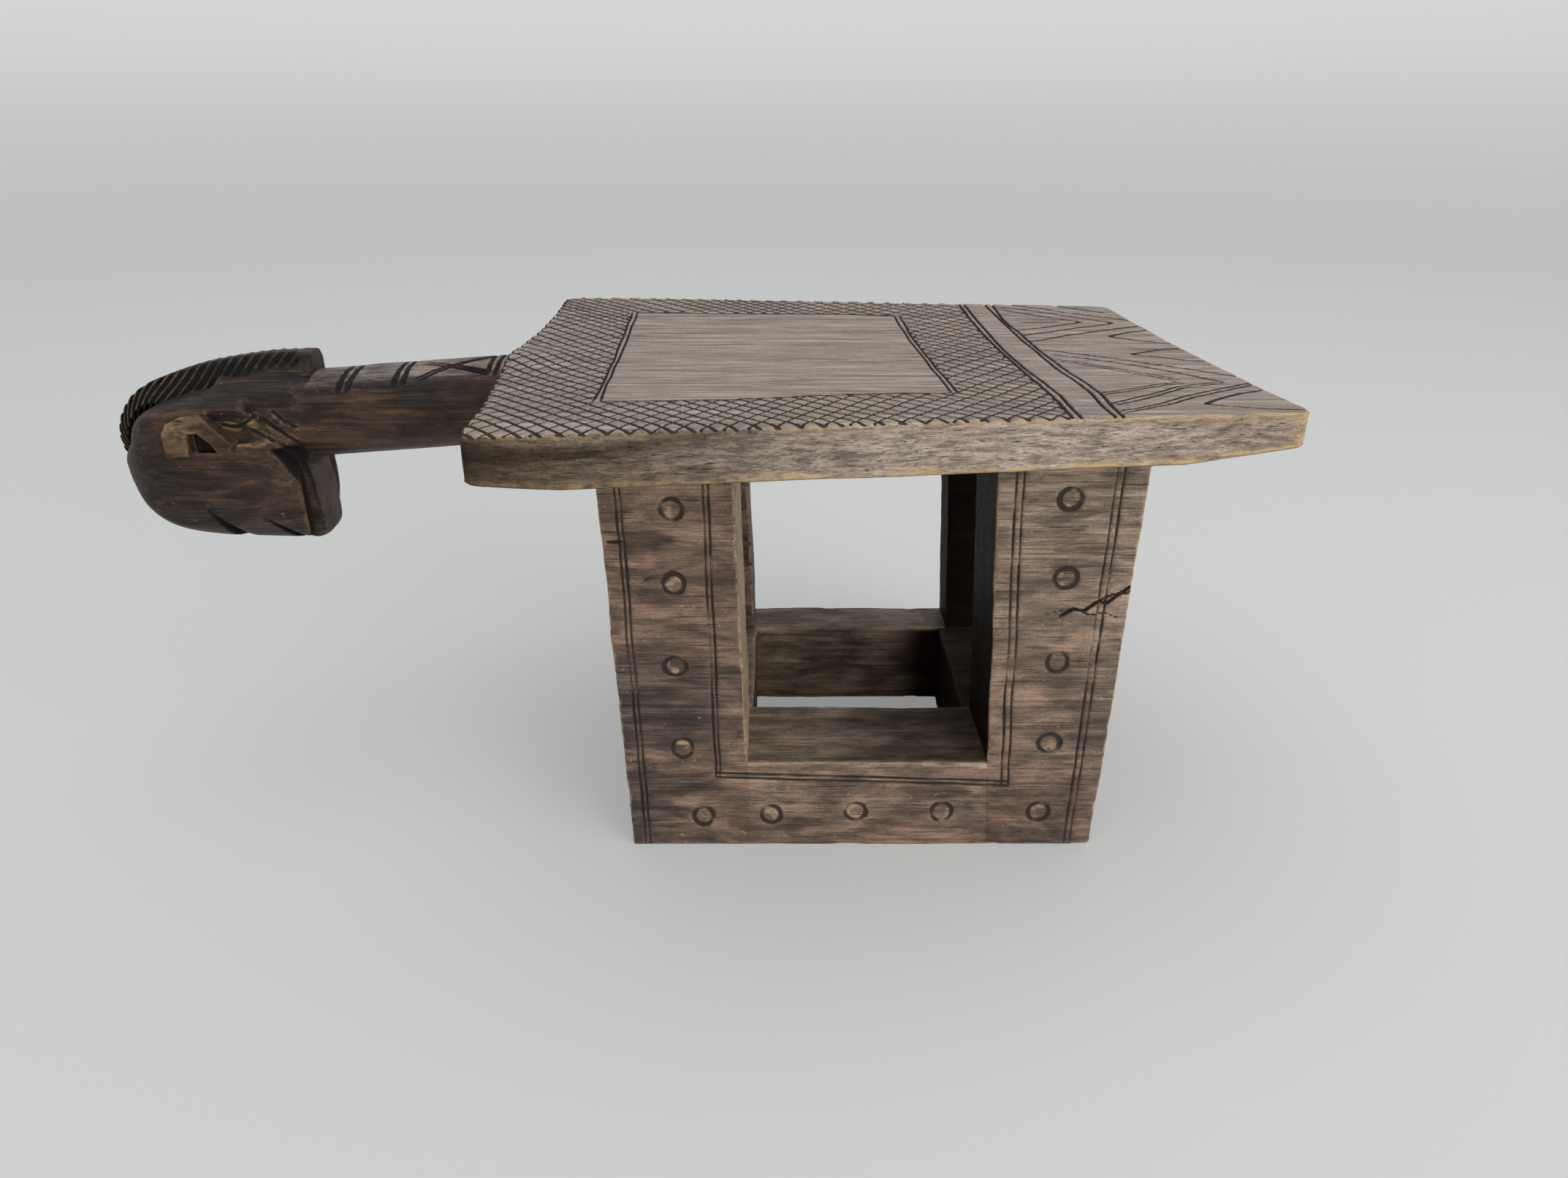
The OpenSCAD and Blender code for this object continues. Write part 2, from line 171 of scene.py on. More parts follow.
def line_distance(points, line):
    """Distance from points to a polyline, and the share of its length at the nearest point."""
    best = np.full(len(points), np.inf)
    share = np.zeros(len(points))
    line = np.asarray(line, float)
    lengths = np.hypot(*np.diff(line, axis=0).T)
    along = np.concatenate([[0], np.cumsum(lengths)])
    for a, b, length, start in zip(line[:-1], line[1:], lengths, along):
        t = np.clip((points - a) @ (b - a) / max(length * length, 1e-9), 0, 1)
        gap = np.hypot(*(points - a - t[:, None] * (b - a)).T)
        nearer = gap < best
        best[nearer] = gap[nearer]
        share[nearer] = (start + t[nearer] * length) / along[-1]
    return best, share


def outline_distance(points, outline):
    """Signed distance from points to a closed outline, less than zero inside it."""
    closed = np.vstack([outline, outline[:1]])
    gap = line_distance(points, closed)[0]
    inside = np.zeros(len(points), bool)
    x, y = points.T
    for (ax, ay), (bx, by) in zip(closed[:-1], closed[1:]):
        if ay != by:
            inside ^= ((ay > y) != (by > y)) & (x < (bx - ax) * (y - ay) / (by - ay) + ax)
    return np.where(inside, -gap, gap)


def arc(centre, radius, start, end, steps):
    angles = np.radians(np.linspace(start, end, steps + 1))
    return np.array(centre) + radius * stack(np.cos(angles), np.sin(angles))


def groove(distance, half_width, depth):
    """Depth of a rounded V cut at a distance from its middle line."""
    return depth * np.clip(1 - (distance / half_width) ** 1.5, 0, 1)


# The base. Its frame is measured from the middle of the base, as in the CAD.

left_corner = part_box("front_left_upright")[0]
BASE_X = left_corner.x / MM + 129
BASE_Y = left_corner.y / MM + 95.5
BASE_HEIGHT = 222
RAIL_HEIGHT = 51
FRONT_Y = BASE_Y - 95.5
FRONT_BACK_Y = FRONT_Y + 58
REAR_Y = BASE_Y + 95.5
REAR_FRONT_Y = REAR_Y - 32


def outer_left(z):
    return BASE_X - 121 - 8 * z / BASE_HEIGHT


def outer_right(z):
    return BASE_X + 121 + 6 * z / BASE_HEIGHT


def inner_left(z):
    return outer_left(z) + 62 + 2 * z / BASE_HEIGHT


def inner_right(z):
    return outer_right(z) - 55.5 - 15.5 * z / BASE_HEIGHT


FRONT = (FRONT_Y, FRONT_BACK_Y)
MIDDLE = (FRONT_BACK_Y, REAR_FRONT_Y)
REAR = (REAR_FRONT_Y, REAR_Y)
# Each member: its left and right faces, then its y and z ranges
MEMBERS = {
    "front_left_upright": (outer_left, inner_left, *FRONT, 0, BASE_HEIGHT),
    "front_right_upright": (inner_right, outer_right, *FRONT, 0, BASE_HEIGHT),
    "front_rail": (inner_left, inner_right, *FRONT, 0, RAIL_HEIGHT),
    "rear_left_upright": (outer_left, inner_left, *REAR, 0, BASE_HEIGHT),
    "rear_right_upright": (inner_right, outer_right, *REAR, 0, BASE_HEIGHT),
    "rear_rail": (inner_left, inner_right, *REAR, 0, RAIL_HEIGHT),
    "left_rail": (outer_left, lambda z: BASE_X - 59, *MIDDLE, 0, RAIL_HEIGHT),
    "right_rail": (lambda z: BASE_X + 59, outer_right, *MIDDLE, 0, RAIL_HEIGHT),
}
# Where the seat lies over the base
SEAT_SPACE = (lambda z: BASE_X - 160, lambda z: BASE_X + 160, -150, 150, BASE_HEIGHT, 245)


def in_other_member(name, x, y, z):
    """Whether points lie in the seat or in another member than the one named."""
    found = False
    others = [member for label, member in MEMBERS.items() if label != name] + [SEAT_SPACE]
    for left, right, y0, y1, z0, z1 in others:
        found = found | (x > left(z)) & (x < right(z)) & (y > y0) & (y < y1) & (z > z0) & (z < z1)
    return found


def front_line(top, bottom, z_top, z_bottom=0.0):
    """x of a cut that runs down the front face, as a function of z."""
    return lambda z: bottom + (top - bottom) * (z - z_bottom) / (z_top - z_bottom)


# Double cuts on the front face: x near the top and near the bottom, and those two heights
CUT_HALF = 1.1
LEFT_CUTS = [
    front_line(-14.2, -9.2, 203), front_line(-11.8, -6.7, 203),
    front_line(26.9, 28.8, 200, 44), front_line(29.3, 31.0, 200, 44),
]
RIGHT_CUTS = [
    front_line(170.9, 176.8, 200, 40), front_line(174.3, 180.4, 200, 40),
    front_line(216.8, 212.8, 206), front_line(220.2, 215.9, 206),
]
# Double cut under the opening: its two lines as z at x
RAIL_CUTS = [lambda x: 42.0 - 5 * (x - 29) / 152, lambda x: 44.6 - 5 * (x - 29) / 152]
CORNER_Z = (44.6, 39.5)

# Middles of the carved rings on the front face, x and z
RINGS = [
    (11.8, 189), (11.8, 151.5), (10.3, 107), (12.3, 60),
    (196.8, 194), (198.8, 154.5), (198.8, 109), (199.3, 63),
    (21.8, 18), (57.3, 19), (101.8, 21), (146.8, 20.5), (197.3, 21),
]
RING_RADIUS = 5.25
RING_HALF = 1.7
RING_DEPTH = 1.2
DISC_DEPTH = 0.35

# The old split in the right upright, from its middle to its outer arris, and chips out of the left one
SPLITS = [
    ([(198, 134), (204, 138), (209, 137), (215, 142), (220, 141.5), (226, 147), (233, 152)], 0.75, 2.6),
    ([(190, 135), (197, 136.5), (205, 138), (212, 134.5), (219, 136), (226, 133.5)], 0.5, 1.0),
    ([(215, 142), (222, 146), (232, 147.5)], 0.6, 1.6),
    ([(186, 131), (196, 132.5), (204, 131)], 0.4, 0.5),
    ([(-19, 172.5), (-13, 172.8)], 1.1, 1.6),
    ([(-2, 153), (0.6, 154.6)], 1.0, 0.9),
]


def front_depth(x, z):
    """Depth of the front face's cuts at x and z, how dark they are, and where the rings are rubbed."""
    deep = np.zeros(len(x))
    disc = np.zeros(len(x))
    for cuts, corner in ((LEFT_CUTS, CORNER_Z[0]), (RIGHT_CUTS, CORNER_Z[1])):
        for number, cut in enumerate(cuts):
            outer = (number < 2) == (cuts is LEFT_CUTS)
            stop = -5 if outer else corner - 2.5
            shallow = 0.75 + 0.35 * noise(stack(0, 40 * number, z), (9, 9, 26))
            deep = np.maximum(deep, groove(abs(x - cut(z)), CUT_HALF, 0.95) * shallow * (z > stop))
    inside = (x > LEFT_CUTS[2](44)) & (x < RIGHT_CUTS[1](40))
    for cut in RAIL_CUTS:
        deep = np.maximum(deep, groove(abs(z - cut(x)), CUT_HALF, 1.0) * inside)
    for number, (ring_x, ring_z) in enumerate(RINGS):
        squash = 1 + 0.05 * math.sin(2.4 * number)
        reach = np.hypot((x - ring_x) * squash, (z - ring_z) / squash)
        near = reach < 12
        uneven = 0.72 + 0.5 * noise(stack(x[near], z[near], number), (4, 4, 4), 44)
        ring = groove(abs(reach[near] - RING_RADIUS), RING_HALF, RING_DEPTH) * uneven
        deep[near] = np.maximum(deep[near], ring)
        disc[near] = smoothstep(RING_RADIUS, RING_RADIUS - 1.2, reach[near])
    for line, half, depth in SPLITS:
        gap = line_distance(stack(x, z), line)[0]
        deep = np.maximum(deep, groove(gap, half, depth))
    # Dust fills the cuts in places, and there they are hardly darker than the face
    filled = 0.5 + 0.5 * noise(stack(x, 0, z), (7, 7, 7), 49)
    dark = np.maximum(deep * (0.62 - 0.5 * filled ** 2), 0.1 * disc)
    rubbed = 0.9 * disc * smoothstep(0.05, 0.4, noise(stack(x, 0, z), (3.5, 3.5, 3.5), 50))
    return np.maximum(deep, DISC_DEPTH * disc), dark, rubbed


def spread(keys, steps):
    """Places between keys: for each, the number of the key before it and its share of the way to the next."""
    number, share = [], []
    for gap in range(len(keys) - 1):
        count = max(1, int(round(abs(keys[gap + 1] - keys[gap]) / steps[gap])))
        number += [gap] * count
        share += list(np.arange(count) / count)
    number.append(len(keys) - 2)
    share.append(1.0)
    return np.array(number), np.array(share)


def around(cuts):
    """Key functions at both lips and the middle of each cut."""
    keys = []
    for cut in cuts:
        for offset in (-CUT_HALF, 0, CUT_HALF):
            keys.append(lambda v, cut=cut, offset=offset: cut(v) + offset)
    return keys


def sheet(ids):
    """Quads between the points of a numbered grid."""
    corners = [ids[:-1, :-1], ids[:-1, 1:], ids[1:, 1:], ids[1:, :-1]]
    return np.stack(corners, axis=-1).reshape(-1, 4)


def lattice_faces(ids):
    """Quads over the six sides of a block of numbered lattice points, facing outward."""
    quads = []
    for axis in range(3):
        for end, flip in ((0, False), (-1, True)):
            quad = sheet(np.take(ids, end, axis=axis))
            quads.append(quad[:, ::-1] if flip != (axis == 1) else quad)
    return quads


# Members that are made paler: their tone at the floor and under the seat. On the front right upright the
# paleness that grows towards the top is painted light, where the seat's overhang shades it.
PALER = {
    "front_right_upright": (-0.1, 0.85), "front_left_upright": (0.06, 0.12), "front_rail": (0.25, 0.25),
    "left_rail": (0.3, 0.3),
}
# Width beside each arris in which the lattice is fine
ARRIS_MARGIN = 2.2
# How far a seated upright runs on into the seat, so that no slit shows
SEAT_OVERLAP = 1.5


def member_lattice(name, fine, x_cuts, z_cuts):
    """A block whose lattice follows its cuts: its numbers, and x, y and z of the points of its surface.

    The last value says which of them lie in the front face.
    """
    left, right, y0, y1, z0, z1 = MEMBERS[name]
    near = ARRIS_MARGIN
    middle_z, middle_x = (z0 + z1) / 2, (left(z1 / 2) + right(z1 / 2)) / 2
    x_keys = [left, lambda z: left(z) + near, *around(x_cuts), lambda z: right(z) - near, right]
    z_keys = [lambda x: z0, lambda x: z0 + near, *around(z_cuts), lambda x: z1 - near, lambda x: z1]
    y_keys = [y0, y0 + near, y1 - near, y1]
    nominal_x = [key(middle_z) for key in x_keys]
    nominal_z = [key(middle_x) for key in z_keys]
    xi, xs = spread(nominal_x, [fine] * (len(x_keys) - 1))
    zi, zs = spread(nominal_z, [fine] * (len(z_keys) - 1))
    yi, ys = spread(y_keys, [0.7, 3.0, 0.7])
    rough_z = np.interp(zi + zs, range(len(z_keys)), nominal_z)
    rough_x = np.interp(xi + xs, range(len(x_keys)), nominal_x)
    key_x = np.array([key(rough_z) + 0 * rough_z for key in x_keys])
    key_z = np.array([key(rough_x) + 0 * rough_x for key in z_keys])
    x = key_x[xi] * (1 - xs)[:, None] + key_x[xi + 1] * xs[:, None]
    z = (key_z[zi] * (1 - zs)[:, None] + key_z[zi + 1] * zs[:, None]).T
    y = np.interp(yi + ys, range(4), y_keys)

    shape = (len(xi), len(yi), len(zi))
    surface = np.zeros(shape, bool)
    surface[[0, -1]] = surface[:, [0, -1]] = surface[:, :, [0, -1]] = True
    ids = np.full(shape, -1)
    ids[surface] = np.arange(surface.sum())
    front = (np.arange(shape[1]) == 0)[None, :, None]
    grids = (x[:, None, :], y[None, :, None], z[:, None, :], front)
    return ids, *(np.broadcast_to(values, shape)[surface] for values in grids)


def worn_block(name, px, py, pz):
    """A block's points with its exposed arrises rounded, and how worn each is.

    A point within the worn margin of two open sides moves onto an arc.
    """
    left, right, y0, y1, z0, z1 = MEMBERS[name]
    inset = 3.0
    safe_z = np.clip(pz, z0 + inset, z1 - inset)
    safe_y = np.clip(py, y0 + inset, y1 - inset)
    safe_x = np.clip(px, left(safe_z) + inset, right(safe_z) - inset)
    points = stack(px, py, pz)
    chips = smoothstep(0.25, 0.6, noise(points, (9, 9, 7), 45))
    wear = np.clip(1.1 + 0.6 * noise(points, (23, 11, 17), 5) + 1.2 * chips, 0.4, 2.8)

    def margin(x_probe, y_probe, z_probe):
        return np.where(in_other_member(name, x_probe, y_probe, z_probe), 0, wear)

    low = (
        margin(left(safe_z) - 1, safe_y, safe_z), margin(safe_x, y0 - 1, safe_z),
        margin(safe_x, safe_y, z0 - 1),
    )
    high = (
        margin(right(safe_z) + 1, safe_y, safe_z), margin(safe_x, y1 + 1, safe_z),
        margin(safe_x, safe_y, z1 + 1),
    )
    inner = stack(
        np.clip(px, left(pz) + low[0], right(pz) - high[0]),
        np.clip(py, y0 + low[1], y1 - high[1]),
        np.clip(pz, z0 + low[2], z1 - high[2]),
    )
    reach = points - inner
    length = np.linalg.norm(reach, axis=1)
    largest = abs(reach).max(axis=1)
    edge = np.clip(length / np.maximum(largest, 1e-9) - 1, 0, 1) * 2.4 * (largest > 0.05)
    return inner + reach * (largest / np.maximum(length, 1e-9))[:, None], edge


def base_member(name, material, fine, x_cuts=(), z_cuts=()):
    """One upright or rail: a hewn block with its cuts, and with worn arrises where it is exposed.

    fine is the step of its lattice. x_cuts run up and down its front, and z_cuts run across it.
    """
    y0, z1 = MEMBERS[name][2], MEMBERS[name][5]
    ids, px, py, pz, front = member_lattice(name, fine, x_cuts, z_cuts)
    points, edge = worn_block(name, px, py, pz)
    dark = np.zeros(len(points))
    if y0 == FRONT_Y:
        deep, dark[front], rubbed = front_depth(points[front, 0], points[front, 2])
        edge[front] = np.maximum(edge[front], rubbed)
        points[front, 1] += deep
    moved = hewn(points)
    # The feet stay on the floor
    moved[:, 2] *= smoothstep(0, 6, points[:, 2])
    points += moved
    if z1 == BASE_HEIGHT:
        points[:, 2] += SEAT_OVERLAP * smoothstep(z1 - 2, z1, pz)
    dust_and_light = rail_dust(name, px, py, pz)
    # Paler tone by member, which is painted light towards the front right upright's top
    if name in PALER:
        low_tone, high_tone = PALER[name]
        dust_and_light = np.maximum(dust_and_light, low_tone + (high_tone - low_tone) * pz / BASE_HEIGHT)
    # Painted light: the front left upright's inner face beside the opening gets the full pale tone and gold,
    # as if lit from the right through the opening
    if name == "front_left_upright":
        inside = (px > inner_left(pz) - 0.5) & (pz > RAIL_HEIGHT) & (py > FRONT_Y + 1)
        dust_and_light = np.maximum(dust_and_light, inside)
        edge = np.maximum(edge, 0.8 * inside)
    make_piece(
        name, points, lattice_faces(ids), material, cut=dark, wear=edge, tone=dust_and_light,
        shade=base_shade(name, px, py, pz),
    )


def base_shade(name, x, y, z):
    """How far each point is darkened. On the faces about the right side of the opening this is painted shade,
    and the front rail's top darkens in patches towards its right end.
    """
    spots = stack(x, y, z)
    # Painted shade: the rear right upright's front and inner faces are nearly black, and the rest of it is a
    # little darker
    if name == "rear_right_upright":
        inside = (x - inner_right(z) < 0.5) | (y < REAR_FRONT_Y + 0.5)
        return np.where(inside, 0.98, 0.3)
    # Painted shade on the front right upright's inner face above the rail
    if name == "front_right_upright":
        inside = (x - inner_right(z) < 0.5) & (y > FRONT_Y + 2) & (z > RAIL_HEIGHT - 1)
        return 0.96 * inside
    # Painted shade over the right rail, all but its outer face
    if name == "right_rail":
        return 0.9 * (x < outer_right(z) - 1)
    # The front rail's top darkens in patches towards its right end
    if name == "front_rail":
        patch = noise(spots, (38, 17, 20), 47) + (x - 110) / 120
        return 0.6 * smoothstep(0.0, 0.5, patch) * (z > RAIL_HEIGHT - 2) * (y > FRONT_Y + 2)
    # Painted shade on the rear rail's front face at its right end
    if name == "rear_rail":
        right_part = smoothstep(126, 156, x + 10 * noise(spots, (20, 20, 20), 48))
        return 0.95 * right_part * (z < RAIL_HEIGHT - 1)
    return 0 * x


def rail_dust(name, x, y, z):
    """How much dust lies at each point: on the rails' tops, mostly in corners, and all over the rear rail."""
    if not name.endswith("rail"):
        return np.zeros(len(x))
    corner = np.minimum(abs(x - inner_left(z)), abs(x - inner_right(z)))
    patches = 0.5 + 0.5 * noise(stack(x, y, z), (9, 9, 9), 8)
    top = (z > RAIL_HEIGHT - 2.5) * np.clip(0.7 + 0.4 * np.exp(-corner / 9) + 0.4 * patches, 0, 1)
    return np.maximum(top, name == "rear_rail")


# The seat

SEAT_TOP = 245.0
# The front right corner of the seat, where hands wore the dark skin off
RIGHT_CORNER = np.array([287.0, -120.0])
DISH_DEPTH = 5.0
DISH_RADIUS = (150 ** 2 + DISH_DEPTH ** 2) / (2 * DISH_DEPTH)
ARRIS = 1.7
# Height of the part of the edge below the top arris into which the notches of the hatching reach
UPPER_EDGE = 5.5


def seat_end(x, y, depth, bow, power):
    """An end of the seat from its front corner to its back corner, bowed outward in the middle."""
    t = np.linspace(-1, 1, 61)
    return stack(BASE_X + x - 9 * t + bow * (1 - t * t) ** power, BASE_Y + y + t * depth / 2)


def rounded_loop(corner_lists, radius):
    """A closed loop of polylines whose joints are rounded."""
    loop = np.vstack([resample(line, 1.2)[:-1] for line in corner_lists])
    for _ in range(int(radius * 7)):
        loop = 0.5 * loop + 0.25 * (np.roll(loop, 1, axis=0) + np.roll(loop, -1, axis=0))
    return loop


def seat_loop():
    wide = seat_end(-176, -3, 340, -9, 3)
    narrow = seat_end(173, 4, 262, 4, 1)
    front = np.array([wide[0], narrow[0]])
    back = np.array([narrow[-1], wide[-1]])
    loop = rounded_loop([front, narrow, back, wide[::-1]], 7)
    flat = stack(*loop.T, 0)
    worn = 0.5 + 0.45 * noise(flat, (31, 31, 31), 2) + 0.25 * noise(flat, (8, 8, 8), 3)
    return shift_in(loop, worn)


def outward(loop):
    """Unit vectors that point out of an anticlockwise loop."""
    return -left_of(np.roll(loop, -1, axis=0) - np.roll(loop, 1, axis=0))


def shift_in(loop, amount):
    return loop - outward(loop) * np.asarray(amount)[:, None]


def seat_plain(x, y):
    """Height of the seat's top without its cuts. Beside the neck it rises to the neck's top."""
    across = y - (BASE_Y + 0.5)
    z = SEAT_TOP - DISH_DEPTH + DISH_RADIUS - np.sqrt(DISH_RADIUS ** 2 - across ** 2)
    z = np.minimum(z, SEAT_TOP)
    z = z + 2.9 * np.exp(-(y / 27) ** 2) * smoothstep(-25, -80, x)
    flat = stack(x, y, 0)
    return z - 0.35 - 0.3 * noise(flat, (70, 26, 9), 4) - 0.07 * noise(flat, (17, 5, 9), 6)


# Cuts on the seat's top as x and y: the panel, the band, and the nested points of the right-hand zone
PANEL_LEFT = [(-30, 121), (-25, 15), (-21, -55), (-19, -103)]
PANEL_LEFT_IN = [(-27, 121), (-22, 5), (-19, -59), (-15.6, -101)]
PANEL_FRONT = [(-15.6, -102), (35, -98), (55, -93), (85, -86), (115, -82), (144, -81)]
PANEL_RIGHT = [(143, -82), (142, -41), (139, 5), (136.6, 55), (135.4, 111)]
PANEL_RIGHT_IN = [(140, -81), (139, -35), (137, 5), (134, 55), (131.6, 111)]
PANEL_BACK = [(133, 110), (115, 114), (81, 117), (35, 118), (-27, 119)]
PANEL = np.array(PANEL_LEFT + PANEL_FRONT[1:] + PANEL_RIGHT[1:] + PANEL_BACK[1:-1])
BAND = [
    [(176, 150), (178.5, 60), (181.5, 0), (184, -60), (184, -100), (181, -140)],
    [(179, 150), (182, 60), (183.5, 0), (187.5, -60), (188, -90), (185, -140)],
    [(192, 150), (194.5, 100), (197, 60), (200, 0), (203, -60), (203, -80), (199.5, -140)],
    [(197, 150), (197, 100), (200, 60), (203, 0), (207, -60), (207, -85), (202.5, -140)],
]
DOUBLE_POINTS = [
    [(205, -124), (230, -105), (245, -90), (262, -77), (288, -58)],
    [(207, -106), (230, -87), (250, -67), (270, -58)],
    [(208, -84), (225, -74), (240, -63), (252, -58)],
    [(203, -3), (215, -11), (230, -27), (243, -41), (252, -52)],
]
WIDE_POINTS = [
    [(206, 20), (225, 7), (240, -4), (262, -24), (280, -41), (289, -50)],
    [(207, 9), (220, 0), (240, -16), (255, -33), (273, -56)],
    [(292, -71), (270, -83), (255, -96), (246, -106), (255, -110), (270, -116), (288, -118)],
    [(285, 26), (265, 21), (247, 9), (260, 3), (272, -6), (292, -9)],
    [(281, 74), (262, 66), (248, 56), (265, 45), (286, 31)],
    [(203, 143), (225, 131), (240, 119), (262, 106), (279, 93)],
    [(279, 87), (262, 77), (245, 68), (225, 58), (210, 48), (201, 43)],
    [(200, 135), (215, 127), (228, 118), (240, 109), (261, 92), (250, 84), (235, 77), (215, 66), (201, 59)],
    [(200, 128), (210, 119), (225, 107), (243, 94), (230, 86), (215, 78), (200, 72)],
    [(231, 142), (248, 130), (262, 120)],
    [(207, 93), (228, 94)],
]
SCRATCHES = [
    [(13, -90), (38, -91)], [(100, -97), (168, -104)], [(57, -54), (78, -50), (100, -48)],
    [(275, -10), (288, -18)], [(60, 30), (96, 34)],
]


def seat_cuts():
    """All single cuts of the seat's top, each as (points, half width, depth)."""
    cuts = []
    cuts += [(line, 0.8, 1.1) for line in (PANEL_LEFT, PANEL_LEFT_IN, PANEL_RIGHT, PANEL_RIGHT_IN)]
    cuts += [(line, 1.5, 1.3) for line in (PANEL_FRONT, PANEL_BACK)]
    cuts += [(line, 1.1, 1.4) for line in BAND]
    cuts += [(line, 1.55, 1.4) for line in WIDE_POINTS]
    for line in DOUBLE_POINTS:
        fine = resample(line, 6)
        cuts += [(beside(fine, side), 1.2, 1.2) for side in (-1.75, 1.75)]
    cuts += [(line, 0.5, 0.35) for line in SCRATCHES]
    bent = []
    for number, (line, half, depth) in enumerate(cuts):
        fine = resample(line, 4)
        # The knife wandered a little to either side of each line
        wander = 0.45 * noise(stack(*fine.T, 30.0 * number), (22, 22, 22), 7)[:, None]
        bent.append((fine + wander * left_of(np.gradient(fine, axis=0)), half, depth))
    return bent


# A line of the hatching is given by its x at each of these y
HATCH_STEP = 3.4
HATCH_Y = np.arange(-174, 175, HATCH_STEP)


def hatch_family(first, last, pitch, angle, lean, seed):
    """x of each line of a family of hatching at each HATCH_Y. angle gives its slope in degrees at x and y.

    A line leans to the left with growing y where lean is -1, and to the right where it is 1.
    """
    starts = np.arange(first, last, pitch)
    x = starts + 0.9 * noise(stack(starts * 7.7, 0, 0), (5, 5, 5), seed)
    table = [x]
    for y in HATCH_Y[:-1]:
        x = x + lean * HATCH_STEP / np.tan(np.radians(angle(x, y)))
        table.append(x)
    table = np.array(table).T
    number, height = np.meshgrid(np.arange(len(starts)), HATCH_Y, indexing="ij")
    wander = stack(number.ravel() * 6.1, height.ravel(), 0)
    return table + 0.75 * noise(wander, (7, 34, 9), seed + 1).reshape(table.shape)


def falling_angle(x, y):
    return 50 - 6 * smoothstep(60, 150, y) + 3 * noise(stack(x, y, 0), (60, 60, 9), 11)


def rising_angle(x, y):
    side = 62 - 7 * smoothstep(40, 150, x) - 9 * smoothstep(-60, 90, y)
    return side - 13 * smoothstep(95, 165, y) + 3 * noise(stack(x, y, 0), (60, 60, 9), 12)


FALLING = hatch_family(-95, 470, 9.3, falling_angle, -1, 21)
RISING = hatch_family(-320, 190, 8.8, rising_angle, 1, 31)
# Each family: its lines, their slope, and half the width of a line
HATCH_FAMILIES = ((FALLING, falling_angle, 1.2), (RISING, rising_angle, 0.85))


def hatch_room(x, y):
    """How far a point lies inside the hatched region, in millimetres."""
    band = np.array(BAND[0][::-1])
    edge_x = np.interp(y, band[:, 1], band[:, 0])
    outside_panel = outline_distance(stack(x, y), PANEL)
    return np.minimum(outside_panel + 0.4, edge_x - x)


def hatch_depth(x, y, inside):
    """Depth of the hatching at x and y, which lie this far inside the seat's edge, and how dark it is."""
    room = hatch_room(x, y)
    share = smoothstep(-0.3, 1.6, room)
    level = np.clip((y - HATCH_Y[0]) / HATCH_STEP, 0, len(HATCH_Y) - 1.001)
    row = level.astype(int)
    part = level - row
    deep = np.zeros(len(x))
    notches = np.zeros(len(x))
    flat = stack(x, y, 0)
    for seed, (table, angle, half) in enumerate(HATCH_FAMILIES, 41):
        where = table[:, row] * (1 - part) + table[:, row + 1] * part
        gap = abs(where - x).min(axis=0) * np.sin(np.radians(angle(x, y)))
        depth = 1.0 + 0.35 * noise(flat, (26, 26, 9), seed)
        deep = np.maximum(deep, groove(gap, half, 1) * depth)
        if table is FALLING:
            # The knife ran out over the worn arris, where each of these lines ends in a broad notch
            notch = groove(gap, half + 1.4 * smoothstep(6, 0, inside), 1.6)
            notches = np.maximum(notches, notch * smoothstep(5, 0.5, inside))
    return np.maximum(deep, notches) * share, deep * share


def seat_strands(cuts):
    """Polylines along the lips and the bottom of each cut of the seat, which its mesh has to follow."""
    strands = []
    for line, half, _ in cuts:
        strands += [beside(line, side) for side in (-half, 0, half)]
    for table, angle, half in HATCH_FAMILIES:
        for row in table:
            tilt = np.sin(np.radians(angle(row, HATCH_Y)))
            for side in (-half, 0, half):
                line = stack(row + side / tilt, HATCH_Y)
                inside = hatch_room(*line.T) > -0.2
                before = np.concatenate([[False], inside[:-1]])
                for start in np.flatnonzero(inside & ~before):
                    end = start
                    while end < len(line) and inside[end]:
                        end += 1
                    if end - start > 1:
                        strands.append(line[start:end])
    return strands


def fill(loop, loose, strands):
    """The points and the triangles that fill a closed loop, with loose points and polylines worked in."""
    points = [loop]
    edges = [stack(np.arange(len(loop)), np.roll(np.arange(len(loop)), -1))]
    total = len(loop)
    for strand in strands:
        points.append(strand)
        edges.append(total + stack(np.arange(len(strand) - 1), np.arange(1, len(strand))))
        total += len(strand)
    points = np.vstack(points + [loose])
    edges = np.vstack(edges)
    result = delaunay_2d_cdt([Vector(p) for p in points], edges.tolist(), [], 0, 1e-4)
    flat = np.array([tuple(p) for p in result[0]])
    triangles = np.array(result[2])
    middle = flat[triangles].mean(axis=1)
    triangles = triangles[outline_distance(middle, loop) < 0]
    a, b, c = (flat[triangles[:, k]] for k in range(3))
    area = (b[:, 0] - a[:, 0]) * (c[:, 1] - a[:, 1]) - (b[:, 1] - a[:, 1]) * (c[:, 0] - a[:, 0])
    triangles[area < 0] = triangles[area < 0][:, ::-1]
    used, packed = np.unique(triangles, return_inverse=True)
    return flat[used], packed.reshape(-1, 3)


def rim(triangles):
    """The numbers of the vertices round the edge of a sheet of triangles, in order, anticlockwise."""
    edges = np.vstack([triangles[:, [0, 1]], triangles[:, [1, 2]], triangles[:, [2, 0]]])
    known = set(map(tuple, edges.tolist()))
    follow = {a: b for a, b in known if (b, a) not in known}
    start = next(iter(follow))
    order = [start]
    while follow[order[-1]] != start:
        order.append(follow[order[-1]])
    return np.array(order)


